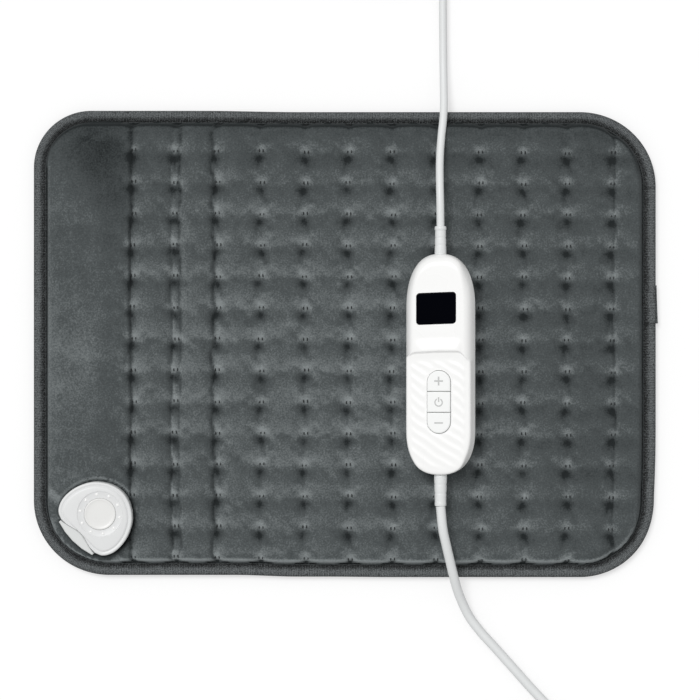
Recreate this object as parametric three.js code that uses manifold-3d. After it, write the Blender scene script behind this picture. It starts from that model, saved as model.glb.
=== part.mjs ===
// Heating pad with controller: a quilted electric pad with bound edges, a hand controller with a
// display and three keys lying on it, the mains cord and plug, the lead to the pad with its plug,
// and the socket with a release button sewn to the pad's corner.
// Millimetres. The origin is on the table under the pad's middle. +X runs along the pad,
// +Y along the cord towards the mains plug, and +Z up.

import * as THREE from "three";
import { mergeVertices } from "three/addons/utils/BufferGeometryUtils.js";
import Module from "manifold-3d";

const wasm = await Module();
wasm.setup();

// Shared by all pieces
const CLEARANCE = 0.3;
const OVERRUN = 1;
const WELD_DISTANCE = 0.0001;
const ROUND_SIDES = 16;
const SMALL_SIDES = 10;
const HOLE_SIDES = 8;
const DISC_SIDES = 24;

// Pad outline and edge binding
const PAD_LENGTH = 400;
const PAD_WIDTH = 300;
const CORNER_RADIUS = 49;
const TIGHT_CORNER_RADIUS = 37;
const CORNER_STEPS = 5;
const BINDING_WIDTH = 6;
const BINDING_HEIGHT = 7;
const BINDING_LEG = 1.5;
const BINDING_BACK = 1.8;
const BINDING_ROUND = 1.1;
const TAIL_START = 37.5;
const TAIL_END = 12.8;
const TAIL_THICK = 1;
const TAIL_THIN = 0.3;

// Quilts, heights above the table
const QUILT_EDGE = 1.55;
const QUILT_CROWN = 13.6;
const CHANNEL_DEPTH = 2.6;
const TUFT_DEPTH = 5;
const ROW_DEPTH = 0.8;
const BAND_DEPTH = 0.9;
const TUFT_COLUMNS = 12;
const TUFT_ROWS = 15;
const LEFT_BAND = 64;
const RIGHT_BAND = 28;
const FIRST_ROW_INSET = 6.7;
const LAST_ROW_INSET = 12;
const ROW_DROP = 2;
const BACK_QUILT_TOP = 3.9;
const BACK_BULGE_CUT = 0.5;
const BACK_CHANNEL = 0.9;
const GROOVE_WIDTH = 2.4;
const TOP_UNDERSIDE = 7.1;
const EDGE_RISE = 14;

// Heating element
const FELT_INSET = 12.5;
const FELT_THICKNESS = 0.7;
const WIRE_DIAMETER = 1.6;
const WIRE_SIDES = 5;
const WIRE_BEND_STEPS = 3;
const SQUARE_TOLERANCE = 0.01;
const WIRE_SMALL_BEND = 3;
const WIRE_RISE = 18;
const LAST_RUN_INSET = 16;
const RETURN_INSET = 22;
const RETURN_BEND = 27;
const CUTOUT_LENGTH = 15;
const CUTOUT_WIDTH = 6;
const CUTOUT_HEIGHT = 1.6;

// Controller housing, in its own frame: z = 0 is the parting plane, +y points up the mains cord
const CONTROLLER_X = 60.8;
const CONTROLLER_Y = -13.2;
const CONTROLLER_Z = 26.6;
const CONTROLLER_ROLL_DEGREES = 10;
const CONTROLLER_LENGTH = 140;
const CONTROLLER_WIDTH = 44;
const TOP_END = 36;
const BOTTOM_END = 29;
const END_POWER = 2.4;
const END_STEPS = 11;
const END_ROLL_SHARE = 1.5;
const FRONT_DEPTH = 9;
const FACE_INSET = 3.1;
const REAR_DEPTH = 10.5;
const REAR_INSET = 12;
const SHELL_WALL = 2;
const FACE_WALL = 2.4;
const GRIP_SINK = 0.8;
const GRIP_MARGIN = 1.5;
const GRIP_STEP_SHARE = 0.4;
const GRIP_STEP_SAG = 3;
const GRIP_STEP_RUN = 17;
const RIB_PITCH = 5.5;
const RIB_WIDTH = 3;
const RIB_HEIGHT = 0.5;
const RIB_SLOPE_DEGREES = -35;
const RIB_KEY_MARGIN = 1.4;

// Display
const DISPLAY_LENGTH = 25.7;
const DISPLAY_WIDTH = 20;
const DISPLAY_CORNER = 2;
const DISPLAY_X = -1.2;
const DISPLAY_END = 34.3;
const DISPLAY_FLANGE = 1.6;
const DISPLAY_FLANGE_DEPTH = 0.8;
const DISPLAY_SINK = 0.1;
const DISPLAY_MODULE_BORDER = 1;

// Keys and their switches
const KEY_STRIP_LENGTH = 40.5;
const KEY_STRIP_WIDTH = 15.4;
const KEY_STRIP_END = 25.75;
const KEY_PROUD = 0.6;
const KEY_FLANGE = 1;
const KEY_FLANGE_DEPTH = 1;
const KEY_TRAVEL = 0.6;
const KEY_STEM_RADIUS = 1.7;
const KEY_STEM_ENTRY = 0.4;
const SWITCH_WIDTH = 6;
const SWITCH_HEIGHT = 3.2;

// Circuit board and what it carries
const BOARD_THICKNESS = 1.6;
const BOARD_WIDTH = 34;
const BOARD_END = 12;
const BOARD_CORNER = 7;
const CAPACITOR_LENGTH = 13;
const CAPACITOR_WIDTH = 9;
const CAPACITOR_HEIGHT = 6;
const CAPACITOR_CORNER = 1;
const CAPACITOR_X = -7;
const CAPACITOR_Y = 24;
const TRIAC_WIDTH = 10;
const TRIAC_LENGTH = 15;
const TRIAC_HEIGHT = 4.4;
const TRIAC_TAB = 1.3;
const TRIAC_HOLE_RADIUS = 1.8;
const TRIAC_X = -6;
const TRIAC_Y = -16;
const FUSE_RADIUS = 2.6;
const FUSE_GLASS_RADIUS = 2.3;
const FUSE_LENGTH = 20;
const FUSE_CAP = 5;
const FUSE_X = 9;
const FUSE_Y = 22;
const TERMINAL_WIDTH = 10;
const TERMINAL_LENGTH = 8;
const TERMINAL_HEIGHT = 5;
const TERMINAL_HOLE_RADIUS = 1.4;

// Housing screws, driven from the rear
const SCREW_X = 10;
const SCREW_END = 19;
const SCREW_HEAD_RADIUS = 2.4;
const SCREW_HEAD_CROWN = 1.9;
const SCREW_HEAD_HEIGHT = 1.6;
const SCREW_HEAD_SINK = 2.2;
const SCREW_SHAFT_RADIUS = 1.4;
const SCREW_BITE = 4;
const BOSS_WALL = 1.3;

// Strain reliefs
const RELIEF_NECK_RADIUS = 3.7;
const RELIEF_TIP_RADIUS = 3.4;
const RELIEF_COLLAR_RADIUS = 3.7;
const RELIEF_COLLAR_LENGTH = 2.6;
const RELIEF_FLANGE_RADIUS = 5.2;
const RELIEF_FLANGE_LENGTH = 2;
const RELIEF_STUB_RADIUS = 2.4;
const RELIEF_STUB_LENGTH = 2.5;
const RELIEF_SEAT = 6.4;
const MAINS_RELIEF_LENGTH = 17.5;
const LEAD_RELIEF_LENGTH = 20;
const LEAD_RELIEF_GROWTH = 0.4;

// Pad socket. Its own frame has +x out of the slot, +y along the slot, z up from the table
const SOCKET_INSET_X = 44.3;
const SOCKET_INSET_Y = 41.5;
const SOCKET_TURN_DEGREES = 225;
const SOCKET_SEAT = 9;
const SOCKET_SEAT_MARGIN = 1;
const SOCKET_BACK = 20.6;
const SOCKET_HALF_WIDTH = 24.6;
const SOCKET_FRONT = 24.3;
const SOCKET_LIP_HALF = 15.2;
const SOCKET_LIP_RADIUS = 48;
const SOCKET_DIP = 17.2;
const SOCKET_FLOOR = 1.2;
const SOCKET_WALL = 1.6;
const SOCKET_BASE_HEIGHT = 4.7;
const SOCKET_PLATE = 2.3;
const SOCKET_BEVEL = 2.2;
const SOCKET_BEVEL_DROP = 1.8;
const BASE_INSET = 0.9;
const BUTTON_RADIUS = 9.9;
const BUTTON_DISH = 0.4;
const BUTTON_RIM = 1.6;
const BUTTON_FLANGE_RADIUS = 11.1;
const BUTTON_FLANGE = 1;
const BUTTON_STEM_RADIUS = 4;
const RELEASE_TRAVEL = 1.2;
const RING_RADIUS = 13.6;
const RING_DEPTH = 0.6;
const PIP_CIRCLE_RADIUS = 12;
const PIP_RADIUS = 0.6;
const PIP_HEIGHT = 0.4;
const PIP_COUNT = 10;
const MOUTH_WALL = 1;
const MOUTH_REAR = 14;
const MOUTH_CHAMFER = 0.6;
const MOUTH_ROOT = 2.6;
const SLOT_HALF = 12;
const SLOT_HEIGHT = 5.2;
const LATCH_THICKNESS = 1;
const LATCH_HALF = 3;
const LATCH_REACH = 17;
const LATCH_HOOK = 1.6;
const LATCH_HOOK_RISE = 2.1;
const LATCH_HOOK_HALF = 2;
const SPRING_RADIUS = 6;
const SPRING_WIRE = 0.8;
const SPRING_CURLS = 2;
const SPRING_STEPS = 8;
const SPRING_SIDES = 5;
const SPRING_POST_HEIGHT = 4;
const SPRING_POST_INNER = 4.7;
const SPRING_POST_OUTER = 7.2;
const CARRIER_DEPTH = 2.1;
const BLADE_PITCH = 9;
const BLADE_HALF = 1.5;
const BLADE_THICKNESS = 0.8;
const BLADE_REACH = 1.2;
const BLADE_TAIL = 3.1;
const TERMINAL_RISE = 16.6;
const WIRE_HOLE_RADIUS = 2;
const WIRE_HOLE_X = -10;
const WIRE_HOLE_Y = 9;
const SOCKET_SCREW_BACK = 15;
const SOCKET_SCREW_FRONT = 9.5;
const SOCKET_SCREW_SIDE = 18.5;
const SOCKET_SCREW_HEAD_RADIUS = 2.6;
const SOCKET_SCREW_HEAD = 0.7;
const SOCKET_SCREW_RADIUS = 1.3;
const SOCKET_SCREW_BITE = 6;
const SOCKET_BOSS_RADIUS = 2.8;
const BACKING_THICKNESS = 1.5;
const BACKING_ARM_HALF = 4;
const BACKING_ARM_CORNER = 3.9;

// Mains cord, its coil and its plug
const MAINS_DIAMETER = 5;
const MAINS_COIL_INNER = 20.2;
const MAINS_COIL_STEPS_IN = 81;
const MAINS_COIL_STEPS_OUT = 81;
const TURN_GAP = 0.6;
const CLIMB_BOW = 1;
const COIL_SIDES = 6;
const STEPS_PER_TURN = 24;
const EXIT_STEPS = 6;
const RUN_SIDES = 10;
const RUN_STEP_DIAMETERS = 2.5;
const TIE_THICKNESS = 0.8;
const TIE_WIDTH = 8;
const TIE_CLEARANCE = 0.8;
const MAINS_TIE_DEGREES = 45;
const PLUG_FACE_WIDTH = 35.4;
const PLUG_FACE_THICKNESS = 13.7;
const PLUG_BODY_LENGTH = 46;
const PLUG_SECTION_STEPS = 20;
const PLUG_SECTION_POWER = 3;
const PLUG_AXIS = 7.3;
const PLUG_PIN_LENGTH = 19;
const PLUG_PIN_RADIUS = 2;
const PLUG_PIN_PITCH = 18.4;
const PLUG_PIN_ROOT = 5;
const PLUG_SLEEVE_LENGTH = 10;
const PLUG_SLEEVE_RADIUS = 1.9;
const PLUG_SLEEVE_WALL = 0.5;

// Pad lead, its coil and its plug
const LEAD_DIAMETER = 6;
const LEAD_COIL_INNER = 29.5;
const LEAD_COIL_STEPS_IN = 24;
const LEAD_COIL_STEPS_OUT = 21;
const LEAD_TIE_DEGREES = 180;
const LEAD_PLUG_WIDTH = 31;
const LEAD_PLUG_THICKNESS = 13;
const LEAD_PLUG_LENGTH = 34;
const LEAD_PLUG_WALL = 1.6;
const LEAD_PLUG_ROUND = 2.5;
const LEAD_PLUG_AXIS = 6.8;
const LEAD_BOOT_LENGTH = 18;
const LEAD_BOOT_RADIUS = 4.6;
const LEAD_BOOT_TIP_RADIUS = 3.6;
const LEAD_BOOT_FLANGE_RADIUS = 5;
const LEAD_BOOT_WELL = 2.4;
const TONGUE_REACH = 9;
const TONGUE_ROOT = 8;
const TONGUE_THICKNESS = 4.4;
const TONGUE_HALF = 11.6;
const TONGUE_CONTACT_HALF = 1.9;

// Shares, chosen by hand, of the sizes that they follow
const FRONT_PROFILE_SHARES = [[0, 0], [0.14, 0.45], [0.42, 0.78], [0.72, 0.93], [1, 1]];
const REAR_PROFILE_SHARES = [[0, 0], [0.03, 0.38], [0.14, 0.66], [0.36, 0.87], [0.68, 0.98], [1, 1]];
const SOCKET_SIDE_SHARES = [[1, 0], [0.9, 0.36], [0.6, 0.71], [0.15, 0.93]];
const SOCKET_CORNER_SHARES = [[0.25, 1], [0.54, 0.955], [0.75, 0.82], [0.845, 0.625]];
const PARTING_SHARES = [[1.18, 1], [1.13, 0.7], [1.09, 0.52], [1.03, 0.23], [1, 0]];
const LIP_SHARES = [1, 0.5, 0, -0.5, -1];
const STEP_SHARES = [1, 0.6, 0.2, -0.2, -0.6, -1];
const EDGE_SHARES = [[0.13, 0.42], [0.5, 0.82]];
const GRIP_SHARES = [[0.5, 0], [0.86, 0], [0.86, 0.3], [0.86, 0.6]];
const PLUG_LENGTH_SHARES = [0, 0.2, 0.34, 0.5, 0.64, 0.84, 1];
const PLUG_WIDTH_SHARES = [0.22, 0.27, 0.66, 0.86, 0.8, 1, 1];
const PLUG_THICKNESS_SHARES = [0.57, 0.66, 0.94, 1.02, 0.98, 1, 1];

// Routes of the two cords, point by point
const MAINS_ROUTE = [
  [60.6, 90, 26.4], [60.4, 102, 24.6], [60.5, 114, 20.9], [61, 124, 17.9], [61.9, 134, 15.7],
  [63, 144, 13.4], [63.5, 153, 11], [63.5, 163, 8.2], [63.4, 176, 5.6], [63.3, 192, 4.5],
  [63.1, 215, 4.4], [63, 240, 4.4], [63, 254, 4.4], [63, 264.7, 4.4],
];
const LEAD_ROUTE = [
  [62.3, -118, 26], [64.5, -128, 23.6], [66.9, -138, 20.1], [69.4, -148, 16.2], [72, -157.5, 11.8],
  [75.3, -166, 8.1], [80.3, -176, 5.6], [87.5, -185.5, 4.9], [97, -196, 4.9], [108, -208.3, 4.9],
  [120, -221.8, 4.9], [130.5, -232.8, 4.9], [140, -242.4, 4.9], [143.5, -245.9, 4.9],
];

// Colours
const PLUSH_GREY = 0x545859;
const FLEECE_GREY = 0x4a4e4f;
const BINDING_GREY = 0x55585a;
const FELT_WHITE = 0xd8d6d0;
const HOUSING_WHITE = 0xf4f5f5;
const KEY_GREY = 0xecedec;
const GLASS_BLACK = 0x010409;
const SOCKET_WHITE = 0xe2e2e1;
const CORD_WHITE = 0xe3e5e5;
const WIRE_CREAM = 0xe8e2d0;
const BOARD_GREEN = 0x1f5a34;
const STEEL_GREY = 0xb4b8bc;
const BRASS_YELLOW = 0xc9a552;
const COMPONENT_BLACK = 0x202224;
const COMPONENT_RED = 0x9c2f25;

const part = new THREE.Group();

// Pieces and solids

function add(group, name, geometry, color, roughness, metalness = 0) {
  const material = new THREE.MeshStandardMaterial({ color, roughness, metalness });
  const mesh = new THREE.Mesh(geometry, material);
  mesh.name = name;
  group.add(mesh);
}

function asSolid(geometry) {
  const plain = geometry.index ? geometry.toNonIndexed() : geometry;
  const bare = new THREE.BufferGeometry();
  bare.setAttribute("position", plain.getAttribute("position"));
  const merged = mergeVertices(bare, WELD_DISTANCE);
  const vertProperties = merged.attributes.position.array;
  const triVerts = new Uint32Array(merged.index.array);
  return new wasm.Manifold(new wasm.Mesh({ numProp: 3, vertProperties, triVerts }));
}

function asGeometry(solid) {
  const { numProp, vertProperties, triVerts } = solid.getMesh();
  const geometry = new THREE.BufferGeometry();
  geometry.setAttribute("position", new THREE.BufferAttribute(vertProperties, numProp));
  geometry.setIndex(new THREE.BufferAttribute(triVerts, 1));
  geometry.computeVertexNormals();
  return geometry;
}

function indexed(points, index) {
  const geometry = new THREE.BufferGeometry().setFromPoints(points);
  geometry.setIndex(index);
  geometry.computeVertexNormals();
  return geometry;
}

// Joins rings of as many points each into one skin. Rings run anticlockwise seen from the last
// one. An open stack gets a flat cap at each end, and a closed one joins its last ring to its first.
function loft(rings, closed = false) {
  const count = rings[0].length;
  const index = [];
  const bands = closed ? rings.length : rings.length - 1;
  for (let band = 0; band < bands; band += 1) {
    const low = band * count;
    const high = ((band + 1) % rings.length) * count;
    for (let side = 0; side < count; side += 1) {
      const next = (side + 1) % count;
      index.push(low + side, low + next, high + next);
      index.push(low + side, high + next, high + side);
    }
  }
  if (!closed) {
    const last = (rings.length - 1) * count;
    for (let side = 1; side < count - 1; side += 1) {
      index.push(0, side + 1, side);
      index.push(last, last + side, last + side + 1);
    }
  }
  return indexed(rings.flat(), index);
}

function prism(shape, low, high, curveSegments = ROUND_SIDES / 2) {
  const settings = { depth: high - low, bevelEnabled: false, curveSegments };
  return new THREE.ExtrudeGeometry(shape, settings).translate(0, 0, low);
}

function column(radius, low, high, x = 0, y = 0, sides = ROUND_SIDES) {
  const geometry = new THREE.CylinderGeometry(radius, radius, high - low, sides);
  return geometry.rotateX(Math.PI / 2).translate(x, y, (low + high) / 2);
}

function block(lowX, highX, lowY, highY, lowZ, highZ) {
  const geometry = new THREE.BoxGeometry(highX - lowX, highY - lowY, highZ - lowZ);
  return geometry.translate((lowX + highX) / 2, (lowY + highY) / 2, (lowZ + highZ) / 2);
}

function polygon(points) {
  return new THREE.Shape(points.map(([x, y]) => new THREE.Vector2(x, y)));
}

function roundedRectangle(lowX, highX, lowY, highY, radius) {
  const shape = new THREE.Shape();
  shape.absarc(highX - radius, highY - radius, radius, 0, Math.PI / 2);
  shape.absarc(lowX + radius, highY - radius, radius, Math.PI / 2, Math.PI);
  shape.absarc(lowX + radius, lowY + radius, radius, Math.PI, 1.5 * Math.PI);
  shape.absarc(highX - radius, lowY + radius, radius, 1.5 * Math.PI, 2 * Math.PI);
  return shape;
}

function cut(geometry, ...tools) {
  let solid = asSolid(geometry);
  for (const tool of tools) solid = solid.subtract(asSolid(tool));
  return asGeometry(solid);
}

function fuse(geometry, ...others) {
  let solid = asSolid(geometry);
  for (const other of others) solid = solid.add(asSolid(other));
  return asGeometry(solid);
}

function common(geometry, other) {
  return asGeometry(asSolid(geometry).intersect(asSolid(other)));
}

// A turned piece: circles of the given radii and heights, from the bottom up.
function turned(profile, sides = ROUND_SIDES) {
  return loft(profile.map(([radius, z]) =>
    Array.from({ length: sides }, (_, side) => {
      const angle = (2 * Math.PI * side) / sides;
      return new THREE.Vector3(radius * Math.cos(angle), radius * Math.sin(angle), z);
    })));
}

// A prism with both its ends bevelled inwards.
function bevelled(shape, low, high, bevel, segments) {
  const settings = {
    depth: high - low - 2 * bevel,
    bevelThickness: bevel,
    bevelSize: bevel,
    bevelOffset: -bevel,
    bevelSegments: segments,
    curveSegments: ROUND_SIDES / 4,
  };
  return new THREE.ExtrudeGeometry(shape, settings).translate(0, 0, low + bevel);
}

// A closed tube along points, its rings square to the way, without twist.
function tube(points, radius, sides) {
  const ways = points.map((point, i) => {
    const before = points[Math.max(i - 1, 0)];
    const after = points[Math.min(i + 1, points.length - 1)];
    const arriving = point.clone().sub(before).normalize();
    const leaving = after.clone().sub(point).normalize();
    return arriving.add(leaving).normalize();
  });
  const upright = Math.abs(ways[0].z) > Math.SQRT1_2;
  const side = upright ? new THREE.Vector3(1, 0, 0) : new THREE.Vector3(0, 0, 1);
  const across = side.cross(ways[0]).normalize();
  const rings = points.map((point, i) => {
    across.addScaledVector(ways[i], -across.dot(ways[i])).normalize();
    const over = ways[i].clone().cross(across);
    return Array.from({ length: sides }, (_, corner) => {
      const angle = (2 * Math.PI * corner) / sides;
      const ring = point.clone().addScaledVector(across, radius * Math.cos(angle));
      return ring.addScaledVector(over, radius * Math.sin(angle));
    });
  });
  return loft(rings);
}

// Points of a route with each inner corner rounded by its own radius, or by less where it is short.
function roundedRoute(corners, steps) {
  const points = [corners[0].at];
  for (let i = 1; i < corners.length - 1; i += 1) {
    const { at, bend } = corners[i];
    const back = corners[i - 1].at.clone().sub(at);
    const ahead = corners[i + 1].at.clone().sub(at);
    const reach = Math.min(bend, back.length() / 2, ahead.length() / 2);
    const start = at.clone().addScaledVector(back.normalize(), reach);
    const end = at.clone().addScaledVector(ahead.normalize(), reach);
    const turn = Math.PI - back.angleTo(ahead);
    const centre = start.clone().add(end).sub(at);
    const square = Math.abs(turn - Math.PI / 2) < SQUARE_TOLERANCE;
    for (let step = 0; step <= steps; step += 1) {
      const share = step / steps;
      if (square) {
        const angle = (share * Math.PI) / 2;
        const fromStart = start.clone().sub(centre).multiplyScalar(Math.cos(angle));
        const fromEnd = end.clone().sub(centre).multiplyScalar(Math.sin(angle));
        points.push(centre.clone().add(fromStart).add(fromEnd));
      } else {
        points.push(new THREE.QuadraticBezierCurve3(start, at, end).getPoint(share));
      }
    }
  }
  points.push(corners.at(-1).at);
  return points.filter((point, i) => i === 0 || point.distanceTo(points[i - 1]) > CLEARANCE / 3);
}

// Pad

function padOutline(inset, z) {
  const corners = [
    [1, 1, CORNER_RADIUS],
    [-1, 1, TIGHT_CORNER_RADIUS],
    [-1, -1, CORNER_RADIUS],
    [1, -1, CORNER_RADIUS],
  ];
  return corners.flatMap(([sideX, sideY, radius], quarter) => {
    const x = sideX * (PAD_LENGTH / 2 - radius);
    const y = sideY * (PAD_WIDTH / 2 - radius);
    return Array.from({ length: CORNER_STEPS + 1 }, (_, step) => {
      const angle = ((quarter + step / CORNER_STEPS) * Math.PI) / 2;
      const reach = radius - inset;
      return new THREE.Vector3(x + reach * Math.cos(angle), y + reach * Math.sin(angle), z);
    });
  });
}

const columnPitch = (PAD_LENGTH - LEFT_BAND - RIGHT_BAND) / (TUFT_COLUMNS - 1);
const rowPitch = (PAD_WIDTH - FIRST_ROW_INSET - LAST_ROW_INSET) / (TUFT_ROWS - 1);
const firstColumn = LEFT_BAND - PAD_LENGTH / 2;
const firstRow = PAD_WIDTH / 2 - FIRST_ROW_INSET;
const columnX = (column) => firstColumn + column * columnPitch;
const rowY = (row) => firstRow - row * rowPitch;

// Grid lines of a quilt: each tuft line, the pillow tops between, and lines out past the edge.
function quiltLines() {
  const xs = [-PAD_LENGTH / 2 - OVERRUN, columnX(-1)];
  for (let half = 0; half <= 2 * (TUFT_COLUMNS - 1); half += 1) xs.push(columnX(half / 2));
  xs.push(PAD_LENGTH / 2 + OVERRUN);
  const ys = [-PAD_WIDTH / 2 - ROW_DROP - OVERRUN];
  for (let half = 2 * (TUFT_ROWS - 1); half >= 0; half -= 1) ys.push(rowY(half / 2));
  ys.push(PAD_WIDTH / 2 + ROW_DROP + OVERRUN);
  return { xs, ys };
}

// A slab over the whole pad with one modelled face and one flat one.
function quiltSlab(xs, ys, faceAt, flat) {
  const points = [];
  const index = [];
  const across = xs.length;
  const faceUp = faceAt(0, 0) > flat;
  const sheet = (heightAt, up) => {
    const start = points.length;
    ys.forEach((y, j) => xs.forEach((x, i) => {
      const drop = (ROW_DROP * (x - xs[0])) / PAD_LENGTH;
      points.push(new THREE.Vector3(x, y - drop, heightAt(i, j)));
    }));
    for (let j = 0; j < ys.length - 1; j += 1) {
      for (let i = 0; i < across - 1; i += 1) {
        const a = start + j * across + i;
        const [b, c, d] = [a + 1, a + across + 1, a + across];
        const mirrored = (i + j) % 2 === 1;
        const faces = mirrored ? [[a, b, d], [b, c, d]] : [[a, b, c], [a, c, d]];
        faces.forEach(([p, q, r]) => index.push(...(up ? [p, q, r] : [p, r, q])));
      }
    }
    return start;
  };
  const face = sheet(faceAt, faceUp);
  const back = sheet(() => flat, !faceUp);
  const [top, bottom] = faceUp ? [face, back] : [back, face];
  const edge = [];
  for (let i = 0; i < across; i += 1) edge.push(i);
  for (let j = 1; j < ys.length; j += 1) edge.push(j * across + across - 1);
  for (let i = across - 2; i >= 0; i -= 1) edge.push((ys.length - 1) * across + i);
  for (let j = ys.length - 2; j > 0; j -= 1) edge.push(j * across);
  edge.forEach((corner, i) => {
    const next = edge[(i + 1) % edge.length];
    index.push(bottom + corner, bottom + next, top + next);
    index.push(bottom + corner, top + next, top + corner);
  });
  return indexed(points, index);
}

const { xs: quiltXs, ys: quiltYs } = quiltLines();
const firstColumnLine = 2;
const firstRowLine = 1;

function onTuftGrid(i, j) {
  const column = i - firstColumnLine;
  const row = j - firstRowLine;
  const inColumns = column >= 0 && column <= 2 * (TUFT_COLUMNS - 1);
  return {
    onColumn: inColumns && column % 2 === 0,
    onRow: inColumns && row % 2 === 0,
    inBand: column < 0,
  };
}

function topQuiltHeight(i, j) {
  const { onColumn, onRow, inBand } = onTuftGrid(i, j);
  if (onColumn) return QUILT_CROWN - (onRow ? TUFT_DEPTH : CHANNEL_DEPTH);
  return QUILT_CROWN - (inBand ? BAND_DEPTH : 0) - (onRow ? ROW_DEPTH : 0);
}

// The underside bulges between the columns and is pressed flat where it rests.
function backQuiltHeight(i, j) {
  return onTuftGrid(i, j).onColumn ? BACK_CHANNEL : -BACK_BULGE_CUT;
}

const backEdgeLow = BINDING_LEG + CLEARANCE;
const backEdgeHigh = backEdgeLow + QUILT_EDGE;
const topEdgeLow = backEdgeHigh + CLEARANCE;
const topEdgeHigh = topEdgeLow + QUILT_EDGE;
const quiltEdgeInset = BINDING_BACK + CLEARANCE;
const bindingInner = BINDING_WIDTH + CLEARANCE;
const grooveInner = BINDING_WIDTH + GROOVE_WIDTH;

function edgedBody(profile) {
  return loft(profile.map(([inset, z]) => padOutline(inset, z)));
}

function makeTopQuilt() {
  const rise = QUILT_CROWN - topEdgeHigh;
  const edged = edgedBody([
    [FELT_INSET - CLEARANCE, TOP_UNDERSIDE],
    [grooveInner, topEdgeLow + CLEARANCE],
    [quiltEdgeInset, topEdgeLow],
    [quiltEdgeInset, topEdgeHigh],
    [grooveInner, topEdgeHigh + CLEARANCE],
    ...EDGE_SHARES.map(([x, z]) => [grooveInner + x * EDGE_RISE, topEdgeHigh + z * rise]),
    [grooveInner + EDGE_RISE, QUILT_CROWN + OVERRUN / 2],
  ]);
  const slab = quiltSlab(quiltXs, quiltYs, topQuiltHeight, topEdgeLow - OVERRUN);
  const seatOutline = socketOutline(SOCKET_SEAT_MARGIN, 1);
  const seat = socketToPad(prism(seatOutline, SOCKET_SEAT, QUILT_CROWN + OVERRUN));
  const holes = [
    ...wireHoles(BACK_QUILT_TOP, QUILT_CROWN),
    ...socketScrews.map(([x, y]) =>
      column(SOCKET_SCREW_RADIUS + CLEARANCE, BACK_QUILT_TOP, QUILT_CROWN, x, y, HOLE_SIDES)),
  ].map(socketToPad);
  return cut(common(slab, edged), seat, ...holes);
}

function makeBackQuilt() {
  const edged = edgedBody([
    [grooveInner, 0],
    [bindingInner, backEdgeLow],
    [quiltEdgeInset, backEdgeLow],
    [quiltEdgeInset, backEdgeHigh],
    [grooveInner, backEdgeHigh],
    [FELT_INSET, BACK_QUILT_TOP],
  ]);
  const alongs = quiltYs.filter((_, j) => j === 0 || j === quiltYs.length - 1);
  const slab = quiltSlab(quiltXs, alongs, backQuiltHeight, BACK_QUILT_TOP + OVERRUN);
  return common(slab, edged);
}

const feltLow = BACK_QUILT_TOP + CLEARANCE;
const feltHigh = feltLow + FELT_THICKNESS;
const wireZ = feltHigh + CLEARANCE + WIRE_DIAMETER / 2;

function makeFelt() {
  const flat = ({ x, y }) => [x, y];
  return prism(polygon(padOutline(FELT_INSET, 0).map(flat)), feltLow, feltHigh);
}

function makeBinding() {
  const slotLow = BINDING_LEG;
  const slotHigh = topEdgeHigh + CLEARANCE;
  const profile = [
    [BINDING_ROUND, 0],
    [0, BINDING_ROUND],
    [0, BINDING_HEIGHT - BINDING_ROUND],
    [BINDING_ROUND, BINDING_HEIGHT],
    [BINDING_WIDTH - BINDING_ROUND, BINDING_HEIGHT],
    [BINDING_WIDTH, BINDING_HEIGHT - BINDING_ROUND / 2],
    [BINDING_WIDTH, slotHigh],
    [BINDING_BACK, slotHigh],
    [BINDING_BACK, slotLow],
    [BINDING_WIDTH, slotLow],
    [BINDING_WIDTH, BINDING_ROUND / 2],
    [BINDING_WIDTH - BINDING_ROUND, 0],
  ];
  return loft(profile.map(([inset, z]) => padOutline(inset, z)), true);
}

function makeBindingTail() {
  const x = PAD_LENGTH / 2 + CLEARANCE;
  const wedge = [
    [x, TAIL_END],
    [x + TAIL_THICK, TAIL_END],
    [x + TAIL_THIN, TAIL_START],
    [x, TAIL_START],
  ];
  return prism(polygon(wedge), BINDING_ROUND, BINDING_HEIGHT - BINDING_ROUND);
}

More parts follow.
